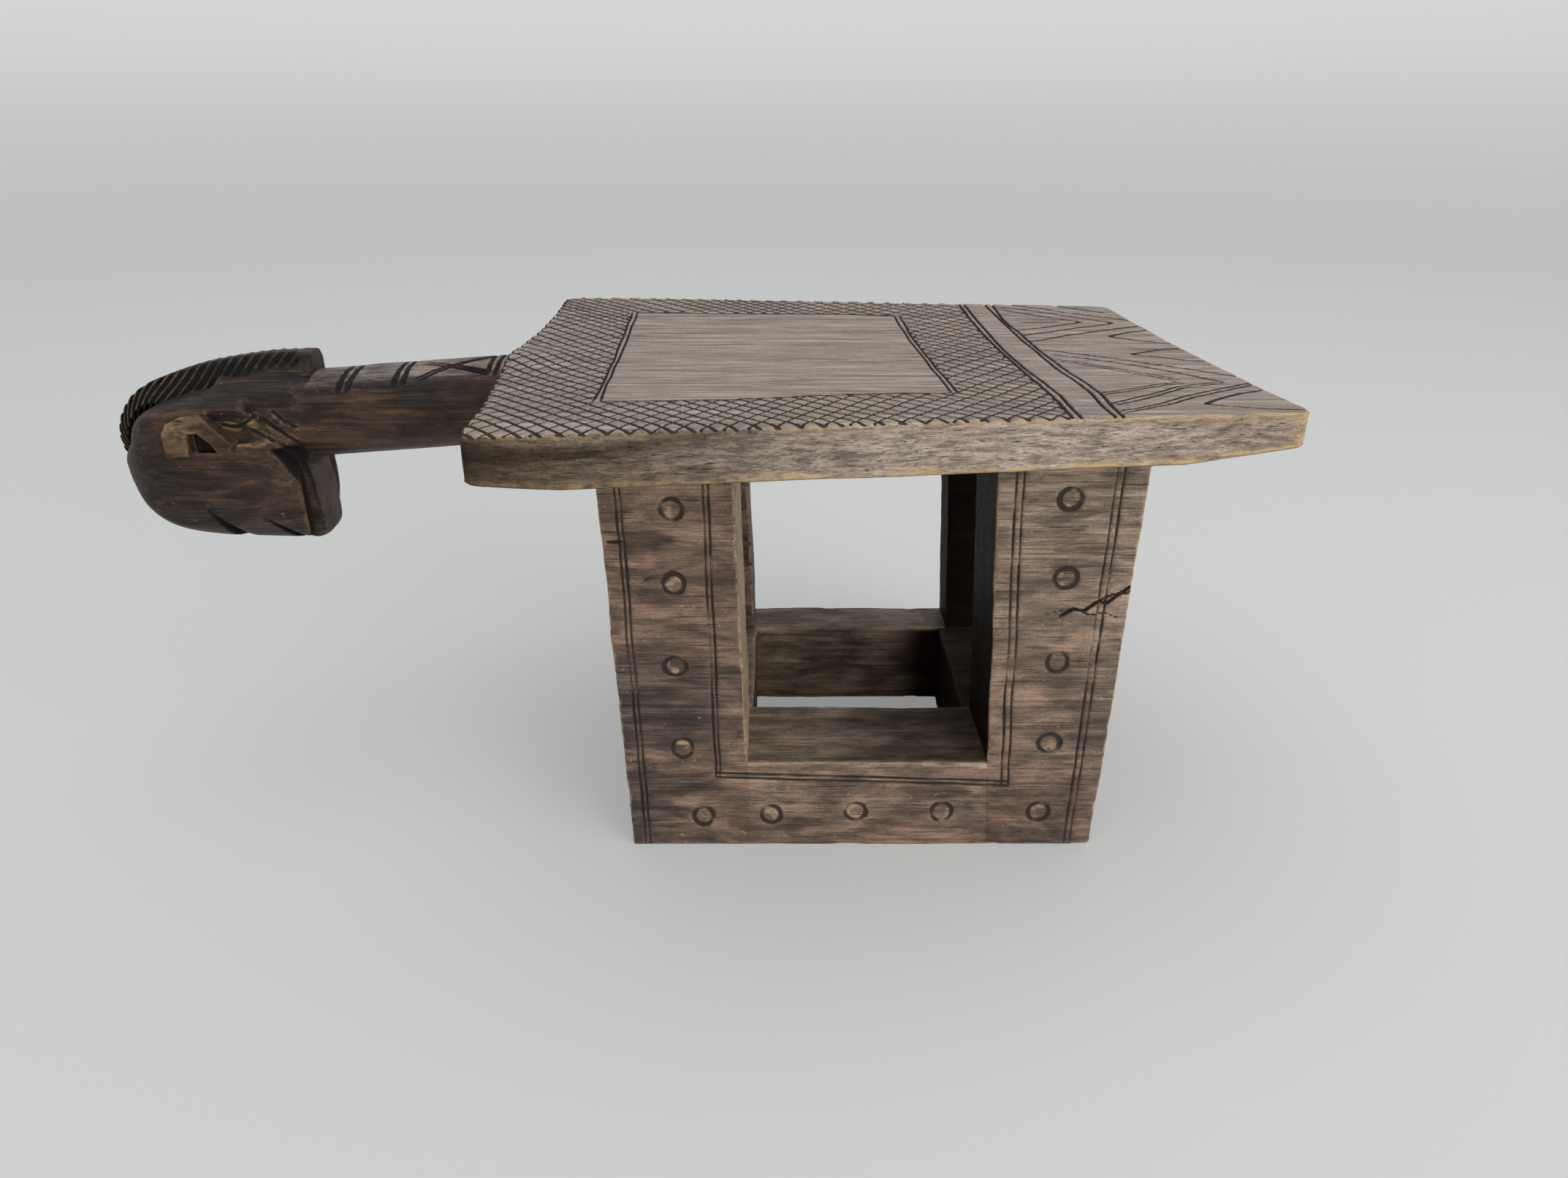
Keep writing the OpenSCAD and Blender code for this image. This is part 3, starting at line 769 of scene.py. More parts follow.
def seat_bottom(x, y):
    """Height of the seat's underside, which rises towards both ends."""
    left = np.clip((outer_left(BASE_HEIGHT) - x) / 57, 0, 1)
    right = np.clip((x - outer_right(BASE_HEIGHT)) / 55, 0, 1)
    flat = stack(x, y, 0)
    return BASE_HEIGHT + 5.5 * np.maximum(left, right) + 0.4 * noise(flat, (40, 24, 9), 14)


def loose_points(outline, step, seed, keep_off=2.0):
    """Points all over an outline, about step apart, and not quite in rows."""
    low, high = outline.min(axis=0), outline.max(axis=0)
    x, y = np.meshgrid(np.arange(low[0], high[0], step), np.arange(low[1], high[1], step * 0.87))
    x[::2] += step / 2
    points = stack(x.ravel(), y.ravel())
    points += np.random.default_rng(seed).uniform(-0.2, 0.2, points.shape) * step
    return points[outline_distance(points, outline) < -keep_off]


def carve_top(top, outer, cuts):
    """How deep each point of the seat's top is cut, and how dark it is."""
    deep, dark = hatch_depth(*top.T, -outline_distance(top, outer))
    for line, half, depth in cuts:
        low, high = line.min(axis=0) - 2, line.max(axis=0) + 2
        near = np.flatnonzero(((top > low) & (top < high)).all(axis=1))
        gap, share = line_distance(top[near], line)
        ends = smoothstep(0, 0.04, share) * smoothstep(1, 0.96, share)
        single = groove(gap, half, depth) * (0.3 + 0.7 * ends)
        deep[near] = np.maximum(deep[near], single)
        dark[near] = np.maximum(dark[near], single)
    return deep, dark


def edge_rows():
    """The rows of the seat's edge from the top down, each as (how far out, how far down, share).

    The share is that of the way from the notches' lower end to the bottom arris.
    """
    turns = np.radians([22, 45, 68, 90])
    rows = [(ARRIS * math.sin(t), ARRIS * (1 - math.cos(t)), 0.0) for t in turns]
    rows += [(ARRIS, ARRIS + down, 0.0) for down in (1.2, 3.0, UPPER_EDGE)]
    rows += [(ARRIS, 0.0, share) for share in (0.3, 0.5, 0.7, 0.88, 1.0)]
    rows += [(ARRIS * math.cos(t) - 0.6 * math.sin(t), -ARRIS * math.sin(t), 1.0) for t in turns[:3]]
    return rows


def seat_underside(rim_points, first_rim, first_fresh):
    """The points of the underside within its rim, and its triangles in the numbers of the whole mesh."""
    under, faces = fill(rim_points, loose_points(rim_points, 7.0, 6, 4.0), [])
    match = {tuple(np.round(p, 6)): n for n, p in enumerate(rim_points)}
    numbers = np.array([match.get(tuple(np.round(p, 6)), -1) for p in under])
    fresh = numbers < 0
    numbers[fresh] = first_fresh + np.arange(fresh.sum())
    numbers[~fresh] += first_rim
    return stack(*under[fresh].T, seat_bottom(*under[fresh].T)), numbers[faces][:, ::-1]


def build_seat(material):
    outer = seat_loop()
    inner = shift_in(outer, np.full(len(outer), ARRIS))
    cuts = seat_cuts()
    top, top_faces = fill(inner, loose_points(inner, 3.2, 5), seat_strands(cuts))
    deep, dark = carve_top(top, outer, cuts)
    plain = seat_plain(*top.T)
    points = [stack(*top.T, plain - deep)]
    cut = [dark]
    wear = [0.2 * smoothstep(2.2, 0.2, -outline_distance(top, inner)) * np.clip(1 - deep, 0, 1)]
    order = rim(top_faces)
    edge, edge_deep, edge_plain = top[order], deep[order], plain[order]
    push = outward(edge)
    bottom = seat_bottom(*edge.T)
    top_z = edge_plain - UPPER_EDGE - ARRIS
    # Hands wore the arrises of the front and of the narrow end, and hardly those beside the neck and behind
    handled = np.clip(smoothstep(-95, -125, edge[:, 1]) + smoothstep(180, 240, edge[:, 0]) + 0.2, 0, 1)
    corner = smoothstep(12, 4, np.hypot(*(edge - RIGHT_CORNER).T))
    rows = edge_rows()
    for out, down, share in rows:
        # Cuts run out over the arris, and fade down the edge
        fade = np.exp(-down / 3.2) if share == 0 else 0
        ring = edge + push * (out - 0.5 * fade * edge_deep)[:, None]
        if share == 0:
            z = edge_plain - down - fade * edge_deep
        else:
            z = top_z + (bottom + ARRIS - top_z) * share + down
        ring_points = stack(*ring.T, z)
        if out == ARRIS:
            ring_points[:, :2] -= push * (0.35 + 0.35 * noise(ring_points, (26, 14, 7), 15))[:, None]
        points.append(ring_points)
        cut.append((share == 0) * 0.25 * smoothstep(0.8, 1.7, edge_deep) * math.exp(-down / 1.5))
        near_top = (share == 0) * math.exp(-down / 2.0)
        near_bottom = (share > 0) * math.exp(-(1 - share) * 9)
        rubbed = max(near_top, near_bottom) * np.clip(1.3 - 0.6 * edge_deep, 0, 1) * handled
        wear.append(np.maximum(rubbed, corner))
    count = len(edge)
    rings = [order] + [len(top) + count * k + np.arange(count) for k in range(len(rows))]
    quads = []
    for upper, lower in zip(rings[:-1], rings[1:]):
        quads.append(stack(upper, lower, np.roll(lower, -1), np.roll(upper, -1)))
    first = len(top) + count * len(rows)
    under, under_faces = seat_underside(points[-1][:, :2], rings[-1][0], first)
    points = np.vstack(points + [under])
    plain_under = [np.zeros(len(under))]
    # The top is bleached all over. The edge grows paler towards the right end and in patches: partly bleached
    # wood and partly painted light, as the edge is lit more at the right.
    pale_top_and_lit_edge = 0.8 * smoothstep(-110, 130, points[:, 0] + 30 * noise(points, (60, 60, 9), 17))
    pale_top_and_lit_edge -= 0.35 * smoothstep(200, 270, points[:, 0] + 20 * noise(points, (30, 30, 8), 16))
    pale_top_and_lit_edge[:len(top)] = 1
    pale_top_and_lit_edge[first:] = 0
    # Towards the left end the edge darkens: partly the wood's own colour and partly painted shade
    darker_left = 0.95 * smoothstep(110, -120, points[:, 0] + 60 * noise(points, (60, 60, 6), 18))
    darker_left[:len(top)] = 0
    make_piece(
        "seat_slab", points, [top_faces, np.vstack(quads), under_faces], material,
        cut=np.concatenate(cut + plain_under), wear=np.concatenate(wear + plain_under), tone=pale_top_and_lit_edge,
        shade=darker_left, sharp=60,
    )


# The neck, which runs into the seat and on under it as a root

NECK_RADIUS = 23.25
NECK_RISE = math.tan(math.radians(4.4))
JOINT = np.array([BASE_X - 288, BASE_Y - 3, 219.75 - 112 * NECK_RISE])
WIDE_END_X = BASE_X - 176
# The root under the seat: its length, and the height of its underside at the seat's end
ROOT_LENGTH = 50
ROOT_LOW = 196.5

# Cuts on the neck as x and the angle from its top towards its front, each with half its width
NECK_CUTS = [
    ([(-161, -50), (-161, 0), (-162, 25), (-164, 54)], 1.3),
    ([(-155.5, -50), (-155.7, 0), (-157, 25), (-159.5, 54)], 1.3),
    ([(-133, -48), (-133.1, 0), (-134, 25), (-135.6, 50)], 1.3),
    ([(-128.8, -48), (-129, 0), (-129.6, 25), (-130.6, 50)], 1.2),
    ([(-125.6, 45), (-117, 32), (-106, 18), (-90, 0), (-86, -6)], 0.9),
    ([(-123.6, 49), (-115, 35), (-104.4, 21.5), (-87, 3)], 0.9),
    ([(-122.5, 4.5), (-106, 20), (-95, 31), (-85.6, 39)], 0.9),
    ([(-124, 9), (-107.5, 24.5), (-96.5, 35), (-87, 43)], 0.9),
    ([(-86.5, -45), (-86.2, 0), (-87, 40)], 1.1),
    ([(-81.5, -45), (-81.5, 0), (-83.2, 45)], 1.1),
]


def build_neck(material):
    turn = np.linspace(0, 360, 216, endpoint=False)
    seat_start = WIDE_END_X - 4
    free_part = np.arange(JOINT[0] - 2, seat_start, 0.75)
    x = np.concatenate([free_part, np.arange(seat_start, WIDE_END_X + ROOT_LENGTH + 0.5, 1.6)])
    along, angle = np.meshgrid(x, turn, indexing="ij")
    signed = (angle + 180) % 360 - 180
    radians = np.radians(angle)
    # The top is worn to a broad facet
    radius = NECK_RADIUS - 0.9 * smoothstep(44, 34, abs(signed)) * (1 - 0.9 * (signed / 44) ** 2)
    flat = stack(along.ravel(), (NECK_RADIUS * np.radians(signed)).ravel())
    deep = np.zeros(len(flat))
    for line, half in NECK_CUTS:
        line = np.array(line, float)
        line[:, 1] = NECK_RADIUS * np.radians(line[:, 1])
        fine = resample(line, 3)
        gap, share = line_distance(flat, fine)
        ends = smoothstep(0, 0.12, share) * smoothstep(1, 0.94, share)
        wedge = half * (0.7 + 0.6 * share)
        deep = np.maximum(deep, groove(gap, wedge, 1.5) * (0.25 + 0.75 * ends) * (0.7 + 0.5 * share))
    radius = radius - deep.reshape(radius.shape)
    axis_z = JOINT[2] + (along - JOINT[0]) * NECK_RISE
    y = JOINT[1] - radius * np.sin(radians)
    z = axis_z + radius * np.cos(radians)
    # Beside the seat the neck swells a little to either side and meets it without a step
    flare = smoothstep(WIDE_END_X - 26, seat_start, along)
    y = JOINT[1] + (y - JOINT[1]) * (1 + 0.09 * flare * smoothstep(-5, 20, z - axis_z))
    # Under the seat only the root is left, which fades out towards the base
    root_share = np.clip((along - WIDE_END_X) / ROOT_LENGTH, 0, 1)
    root_z = ROOT_LOW + (BASE_HEIGHT + 1 - ROOT_LOW) * root_share ** 1.15
    z = np.where(along > WIDE_END_X, np.maximum(z, root_z), z)
    z = np.where(along > WIDE_END_X - 5, np.minimum(z, 233), z)
    points = np.stack([along, y, z], axis=-1).reshape(-1, 3)
    points += hewn(points, 0.8)
    rows, count = along.shape
    ids = np.arange(rows * count).reshape(rows, count)
    ids = np.hstack([ids, ids[:, :1]])
    quads = sheet(ids)
    ends = []
    for ring, flip in ((0, False), (rows - 1, True)):
        middle = points[ids[ring, :-1]].mean(axis=0)
        points = np.vstack([points, middle])
        fan = stack(ids[ring, 1:], ids[ring, :-1], len(points) - 1)
        ends.append(fan[:, ::-1] if flip else fan)
    deep = np.concatenate([deep, [0, 0]])
    # The worn top is paler: partly the wood's own greyish colour and partly painted light from above
    pale_top = np.concatenate([smoothstep(50, 32, abs(signed)).ravel(), [0, 0]])
    make_piece(
        "neck", points, [quads, np.vstack(ends)], material, cut=deep, tone=pale_top, sharp=70,
    )


# The head, as a solid of signed distances: u runs from the neck to the crown, v across, and w upward

def smooth_max(a, b, radius):
    overlap = np.maximum(radius - abs(a - b), 0)
    return np.maximum(a, b) + overlap * overlap / (4 * radius)


def smooth_min(a, b, radius):
    return -smooth_max(-a, -b, radius)


def smooth_cut(solid, tool, radius):
    return smooth_max(solid, -tool, radius)


def plane_points(first, second):
    """All points of a grid of two coordinates."""
    a, b = np.meshgrid(first, second, indexing="ij")
    return stack(a.ravel(), b.ravel())


def flat_distance(first, second, outline):
    """Signed distances to an outline over a grid of two coordinates."""
    gap = outline_distance(plane_points(first, second), np.array(outline))
    return gap.reshape(len(first), len(second))


def flat_gap(first, second, line):
    """Distances to a polyline over a grid of two coordinates, and the shares of its length."""
    found = line_distance(plane_points(first, second), line)
    return [part.reshape(len(first), len(second)) for part in found]


def side_view(u, w, outline):
    """Signed distances to an outline as u and w, the same all across the head."""
    return flat_distance(u, w, outline)[:, None, :]


def surface_net(values, origin, step):
    """Points and quads of the surface where a grid of distances is zero, one point in each crossed cell."""
    inside = values < 0
    cells = tuple(n - 1 for n in values.shape)
    total = np.zeros(cells + (3,))
    hits = np.zeros(cells)
    crossings = []
    for axis in range(3):
        head = tuple(slice(0, -1) if k == axis else slice(None) for k in range(3))
        tail = tuple(slice(1, None) if k == axis else slice(None) for k in range(3))
        where = np.argwhere(inside[head] != inside[tail])
        a = values[head][tuple(where.T)]
        b = values[tail][tuple(where.T)]
        spot = where.astype(float)
        spot[:, axis] += a / (a - b)
        crossings.append((where, inside[head][tuple(where.T)]))
        others = [k for k in range(3) if k != axis]
        for da in (0, 1):
            for db in (0, 1):
                cell = where.copy()
                cell[:, others[0]] -= da
                cell[:, others[1]] -= db
                ok = ((cell >= 0) & (cell < cells)).all(axis=1)
                np.add.at(total, tuple(cell[ok].T), spot[ok])
                np.add.at(hits, tuple(cell[ok].T), 1)
    ids = np.full(cells, -1)
    used = hits > 0
    ids[used] = np.arange(used.sum())
    points = origin + step * total[used] / hits[used][:, None]
    quads = []
    for axis, (where, solid_first) in enumerate(crossings):
        o1, o2 = [(1, 2), (2, 0), (0, 1)][axis]
        ring = []
        for da, db in ((1, 1), (0, 1), (0, 0), (1, 0)):
            cell = where.copy()
            cell[:, o1] -= da
            cell[:, o2] -= db
            ring.append(cell)
        ok = np.all([((c >= 0) & (c < cells)).all(axis=1) for c in ring], axis=0)
        quad = stack(*(ids[tuple(c[ok].T)] for c in ring))
        first = solid_first[ok]
        quads += [quad[first], quad[~first][:, ::-1]]
    return points, np.vstack(quads)


def blur(values, reach):
    """A box blur of a grid, used to tell hollows from arrises."""
    for axis in range(3):
        total = np.zeros_like(values)
        for shift in range(-reach, reach + 1):
            total += np.roll(values, shift, axis=axis)
        values = total / (2 * reach + 1)
    return values


def at_points(values, spots):
    """Values of a grid at fractional places, each from its eight neighbours."""
    base = np.clip(np.floor(spots).astype(int), 0, np.array(values.shape) - 2)
    part = spots - base
    total = 0
    for pick, weight in cell_corners(part):
        total = total + weight * values[tuple((base + pick).T)]
    return total


HEAD_LENGTH = 105.0
CREST_RISE = 33.0
CREST_THICKNESS = 11.5
CREST_SEAT = CREST_RISE - CREST_THICKNESS
CREST_SLOPE = math.radians(20)
CROWN_RADIUS = 38.0
# The crest runs over a large arc, the ridge, and then round the crown
RIDGE_RADIUS = (HEAD_LENGTH - CROWN_RADIUS) / math.sin(CREST_SLOPE) + CROWN_RADIUS
RIDGE = np.array([0.0, CREST_RISE - RIDGE_RADIUS])
CROWN = RIDGE + (RIDGE_RADIUS - CROWN_RADIUS) * np.array([math.sin(CREST_SLOPE), math.cos(CREST_SLOPE)])
BROW = np.array([46.5, -9.5])
CHIN = np.array([8.0, -62.5])


def crest_line(inward, end):
    """The crest's line as u and w, moved inward, from the nape to the angle end about the crown."""
    slope_end = 90 - math.degrees(CREST_SLOPE)
    ridge = arc(RIDGE, RIDGE_RADIUS - inward, 90, slope_end, 20)
    return np.vstack([ridge[:-1], arc(CROWN, CROWN_RADIUS - inward, slope_end, end, 30)])


CREST_TOP = crest_line(0, -14)
SKULL_PROFILE = np.vstack([
    crest_line(CREST_THICKNESS, 15), arc(CROWN, CROWN_RADIUS, -5, -20, 4), arc(BROW, 58, -30, -90, 24),
    arc(CHIN, 8, -90, -180, 12), [[0.5, -54], [2.0, -38], [5.0, -24]],
])
JAW = np.array([(34 * math.cos(a), -25 + 45 * math.sin(a)) for a in np.radians(np.arange(0, -181, -6))])
SKULL_SECTION = np.vstack([[[12, CREST_SEAT], [34, 8]], JAW, [[-34, 8], [-12, CREST_SEAT]]])
CHEEK = np.array([(63 + 42 * math.cos(a), 34 * math.sin(a)) for a in np.radians(np.arange(90, -91, -6))])
SKULL_PLAN = np.vstack([[[0, NECK_RADIUS], [28, 34]], CHEEK, [[28, -34], [0, -NECK_RADIUS]]])
SHOULDER = [(-12, -23), (0, -23), (26, 8), (27, 60), (-12, 60)]
HOLLOW = [(-12, 12), (0, 12), (10, 14), (5, 27), (-12, 27)]
# An eye or mouth is a wedge: its tip, then the foot of its deep side and of its shallow side, at the jaw
EYE = [(54.5, -44.5), (48.2, -64), (38.5, -64)]
MOUTH = [(26.5, -50), (16.5, -65), (10.5, -65)]
WEDGE_DEPTH = 7.5
EAR = [
    (64.5, -13.5), (65.5, -2), (63, 3), (55, 6.9), (46, 8), (41.5, 3), (36, -2.5), (31.5, -7.5),
    (32.5, -11.5), (38.5, -13), (42.5, -7), (48, -1.8), (53.3, -2.2), (53.2, -13.5),
]
# What the head loses behind the cheek's slanting rear edge, and under the ear's arch
CHEEK_REAR = [(-12, -12), (16, -13), (13, -17), (6, -31), (3.5, -51), (3, -80), (-12, -80)]
ARCH = [(52.5, -13), (52.5, -3.5), (48, -3), (42.5, -8), (39, -13)]
# The cheek stands out below this recess, which lies between the ear and the shoulder
TEMPLE = [(43, -9.5), (14, -9.2), (24, 6), (30, 16), (40, 14), (46, 4)]
# The rubbed edge that runs on from the ear's thin leg, over the cheek
SHELF_EDGE = [(37, -7.5), (32, -9.2), (25, -9.6), (18.7, -9.5)]
# Cracks between the head and the neck, as u and w
CRACKS = [
    [(20, 3), (13, -3), (6, -9), (-1, -17)], [(24, -1), (17, -6), (10, -12)], [(14, 6), (9, 1), (4, -2)],
    [(38, 1), (30, 0), (23, 4)],
]
# How far the crest's nape end stands out over the neck
NAPE_OVERHANG = 3.0
STROKE_PITCH = 5.9
# Steps of the grids in which the head's pieces are carved
HEAD_STEP = 0.8
CREST_STEP = 0.6
EAR_STEP = 0.55


def head_grid(low, high, step):
    return [np.arange(a, b, step) for a, b in zip(low, high)]


def head_piece(name, values, axes, step, material, dark=None, gold=None):
    """Turns a grid of distances into a piece. Blurred distances give the hollows and the worn arrises.

    dark and gold are grids of what is added to the hollows and to the worn places.
    """
    origin = np.array([axis[0] for axis in axes])
    points, quads = surface_net(values, origin, step)
    spots = (points - origin) / step
    bend = at_points(blur(values, 2), spots)
    cut = np.clip(-bend * 2.4 - 0.08, 0, 1)
    wear = np.clip(bend * 1.6 - 0.16, 0, 1)
    if dark is not None:
        cut = np.clip(cut + at_points(dark, spots), 0, 1)
    if gold is not None:
        wear = np.clip(wear + at_points(gold, spots), 0, 1)
    # Where the head's skin runs on into the neck's, no arris shows
    beyond = smoothstep(5, 1, points[:, 0]) * (np.hypot(points[:, 1], points[:, 2]) < NECK_RADIUS + 1.5)
    wear = wear * (1 - beyond)
    cut = cut * (1 - beyond)
    placed = JOINT + points * (-1, 1, 1)
    placed += hewn(placed, 0.75)
    placed[:, 0] = np.maximum(placed[:, 0], JOINT[0] - HEAD_LENGTH)
    make_piece(name, placed, [quads[:, ::-1]], material, cut=cut, wear=wear, sharp=65)


def wedge_cuts(u, w, side):
    """The eye's and the mouth's wedges: their depth, where they are dark, and where arrises stay unrubbed."""
    a, b = u[:, None], w[None, :]
    depth = darkened = beside_cut = 0
    for tip, deep_foot, shallow_foot in (EYE, MOUTH):
        # Share of the way from the deep side to the shallow side, where the cut runs out at the cheek
        drop = np.maximum((tip[1] - b) / (tip[1] - deep_foot[1]), 0.02)
        start = tip[0] + (deep_foot[0] - tip[0]) * drop
        across = np.clip((start - a) / ((deep_foot[0] - shallow_foot[0]) * drop), 0, 1)
        below = [
            (foot[0] + (foot[0] - tip[0]) * 1.5, foot[1] + (foot[1] - tip[1]) * 1.5)
            for foot in (deep_foot, shallow_foot)
        ]
        shape = flat_distance(u, w, [tip, *below])
        darkened = np.maximum(darkened, smoothstep(1.0, 0.0, shape) * smoothstep(0.95, 0.7, across))
        beside_cut = np.maximum(beside_cut, smoothstep(4.0, 2.5, shape))
        reach = WEDGE_DEPTH * np.minimum(drop * 1.6, 1) * (1 - across)
        depth = np.maximum(depth, reach * smoothstep(0.6, -0.6, shape))
    return [view[:, None, :] * smoothstep(7, 12, side) for view in (depth, darkened, beside_cut)]


def build_head(material):
    u, v, w = head_grid((-3, -38, -73), (108, 38.5, 30), HEAD_STEP)
    side = abs(v)[None, :, None]
    section = flat_distance(v, w, SKULL_SECTION)
    plan = flat_distance(u, v, SKULL_PLAN)
    solid = smooth_max(section[None, :, :], plan[:, :, None], 8)
    solid = smooth_max(solid, side_view(u, w, SKULL_PROFILE), 8)
    solid = smooth_cut(solid, smooth_max(side_view(u, w, SHOULDER), NECK_RADIUS + 0.5 - side, 3), 3)
    rear = smooth_max(side_view(u, w, CHEEK_REAR), 13 - side, 1.5)
    solid = smooth_cut(solid, rear, 1.5)
    # The neck's end runs on into the head
    round_neck = np.hypot(v[None, :, None], w[None, None, :]) - NECK_RADIUS + 0.1
    round_neck = np.maximum(round_neck, u[:, None, None] - 45)
    solid = smooth_min(solid, round_neck, 5)
    hollow = np.maximum(flat_distance(u, abs(v), HOLLOW)[:, :, None], (w + NECK_RADIUS)[None, None, :])
    solid = smooth_cut(solid, hollow, 1.5)
    wedges, darkened, beside_cut = wedge_cuts(u, w, side)
    solid = solid + wedges
    solid = smooth_cut(solid, smooth_max(side_view(u, w, TEMPLE), 30.2 - side, 2), 1.2)
    arch = smooth_max(side_view(u, w, ARCH), 29 - side, 1)
    solid = smooth_cut(solid, arch, 0.8)
    crack = np.min([flat_gap(u, w, line)[0] for line in CRACKS], axis=0)
    patchy = noise(stack(*plane_points(u, w).T, 0), (3.2, 3.2, 3.2), 46).reshape(crack.shape)
    outer = smoothstep(12, 16, side)
    opened = (groove(crack, 1.0, 1.2) * (0.6 + 0.5 * patchy))[:, None, :] * outer
    solid = solid + opened
    chips = (0.7 * smoothstep(2.6, 1.4, crack) * smoothstep(0.15, 0.35, patchy))[:, None, :] * outer
    chips = chips + 0.8 * smoothstep(1.7, 0.5, flat_gap(u, w, SHELF_EDGE)[0])[:, None, :] * outer
    # Painted shade darkens the hollow under the ear's arch and the recess behind the cheek's rear edge; the
    # eye's and mouth's wedges are darkened all over
    shade_and_wedges = 0.7 * smoothstep(0.8, -0.4, arch) + 0.45 * smoothstep(1.5, 0, rear) + 0.9 * darkened
    head_piece(
        "head", solid, (u, v, w), HEAD_STEP, material,
        dark=opened * 0.6 + shade_and_wedges, gold=chips - 2 * beside_cut,
    )


def build_crest(material):
    u, v, w = head_grid((-6, -15, -30), (108, 15.6, 36), CREST_STEP)
    side = abs(v)[None, :, None]
    inward = CREST_THICKNESS + 1.6
    outside = np.vstack([[[-8, CREST_RISE]], CREST_TOP, [[-8, CREST_TOP[-1, 1]]]])
    inside = np.vstack([[[-9, CREST_RISE - inward]], crest_line(inward, 8), [[95, -30], [-9, -30]]])
    top = flat_distance(u, w, outside)
    along = flat_gap(u, w, CREST_TOP)[1] * np.hypot(*np.diff(CREST_TOP, axis=0).T).sum()
    # The crest thins out where it ends on the forehead, and its very end lies inside the skull
    top = top + 0.008 * np.clip(along - 112, 0, 40) ** 2
    top_half = 6.2 + 5.3 * smoothstep(60, 100, along)[:, None, :]
    slant = (side - top_half + 0.5 * top[:, None, :]) / math.hypot(1, 0.5)
    band = smooth_max(smooth_max(top[:, None, :], slant, 2.2), -NAPE_OVERHANG - u[:, None, None], 1.6)
    # Slanted strokes of hair, which reach less far down the crest's sides near the nape
    down = np.clip(-top, 0, 14)
    stroke = (along - (0.95 + 1.1 * smoothstep(45, 110, along)) * down) / STROKE_PITCH
    stroke = abs(stroke - np.round(stroke)) * STROKE_PITCH
    reach = 6.5 + 8.5 * smoothstep(15, 60, along)
    share = smoothstep(reach + 2, reach - 2, down) * smoothstep(2.0, 6.0, along)
    strokes = (groove(stroke, 2.2, 1.0) * share)[:, None, :] * smoothstep(1.5, 5.5, side)
    band = np.maximum(band + 2.0 * strokes, -side_view(u, w, inside))
    head_piece("hair_crest", band, (u, v, w), CREST_STEP, material, dark=strokes, gold=-0.65 + 0 * band)


def build_ear(name, sign, material):
    """One ear. sign is -1 at the front and 1 at the back."""
    low, high = sorted((sign * 27.5, sign * 43.0))
    u, v, w = head_grid((28, low, -17), (70, high, 12), EAR_STEP)
    away = sign * v[None, :, None]
    # The ear's face leans in towards its top and drops from the thick leg to the thin one
    lean = away + 0.12 * w[None, None, :] + 0.06 * (58 - u)[:, None, None]
    ear = smooth_max(side_view(u, w, EAR), lean - 38.6, 1.6)
    ear = np.maximum(ear, 29.5 - away)
    lit_gold_face = smoothstep(34, 37.5, away) * smoothstep(34, 60, u)[:, None, None]
    # The gold brightens towards the arch's top: partly rubbed wood and partly a painted highlight
    lit_gold_face = lit_gold_face * (0.35 + 0.65 * smoothstep(-9, 2, w))[None, None, :]
    head_piece(name, ear, (u, v, w), EAR_STEP, material, gold=0.75 * lit_gold_face)


# Materials

class Paint:
    """A material's node tree, with one short call for each kind of node. Places are in the object's frame."""

    def __init__(self, name):
        self.material = bpy.data.materials.new(name)
        self.material.use_nodes = True
        self.tree = self.material.node_tree
        self.shader = self.tree.nodes["Principled BSDF"]
        self.place = self.tree.nodes.new("ShaderNodeTexCoord").outputs["Object"]

    def feed(self, socket, value):
        """Links a socket to another one, or gives it a plain value."""
        if isinstance(value, bpy.types.NodeSocket):
            self.tree.links.new(value, socket)
        else:
            socket.default_value = value

    def node(self, kind, inputs, **settings):
        made = self.tree.nodes.new(kind)
        for key, value in settings.items():
            setattr(made, key, value)
        for key, value in inputs.items():
            self.feed(made.inputs[key], value)
        return made

    def math(self, operation, a, b=0.0, clamp=False, add=0.0):
        inputs = {0: a, 1: b, 2: add}
        return self.node("ShaderNodeMath", inputs, operation=operation, use_clamp=clamp).outputs[0]

    def times(self, a, b, clamp=False):
        return self.math("MULTIPLY", a, b, clamp)

    def attribute(self, name):
        return self.node("ShaderNodeAttribute", {}, attribute_name=name).outputs["Fac"]

    def grain(self, cell, detail=3.0, roughness=0.55, distortion=0.0, seed=0.0):
        """Noise whose blobs measure cell millimetres along X, Y and Z. About 0.5 on average."""
        scale = tuple(1000 / size for size in cell)
        scaled = self.node("ShaderNodeVectorMath", {0: self.place, 1: scale}, operation="MULTIPLY").outputs[0]
        shift = (seed, seed, seed)
        moved = self.node("ShaderNodeVectorMath", {0: scaled, 1: shift}, operation="ADD").outputs[0]
        return self.node("ShaderNodeTexNoise", {
            "Vector": moved, "Scale": 1.0, "Detail": detail, "Roughness": roughness, "Distortion": distortion,
        }).outputs["Fac"]

    def scaled(self, colour, factor):
        return self.node("ShaderNodeVectorMath", {0: colour, "Scale": factor}, operation="SCALE").outputs[0]

    def between(self, value, low, high):
        """0 below low, 1 above high and smooth between them."""
        inputs = {"Value": value, "From Min": low, "From Max": high}
        return self.node("ShaderNodeMapRange", inputs, interpolation_type="SMOOTHSTEP").outputs["Result"]

    def mix(self, share, first, second):
        """The first colour where the share is 0 and the second where it is 1."""
        first, second = (c if isinstance(c, bpy.types.NodeSocket) else (*c, 1.0) for c in (first, second))
        return self.node("ShaderNodeMix", {0: share, 6: first, 7: second}, data_type="RGBA").outputs[2]

    def set(self, name, value):
        self.feed(self.shader.inputs[name], value)


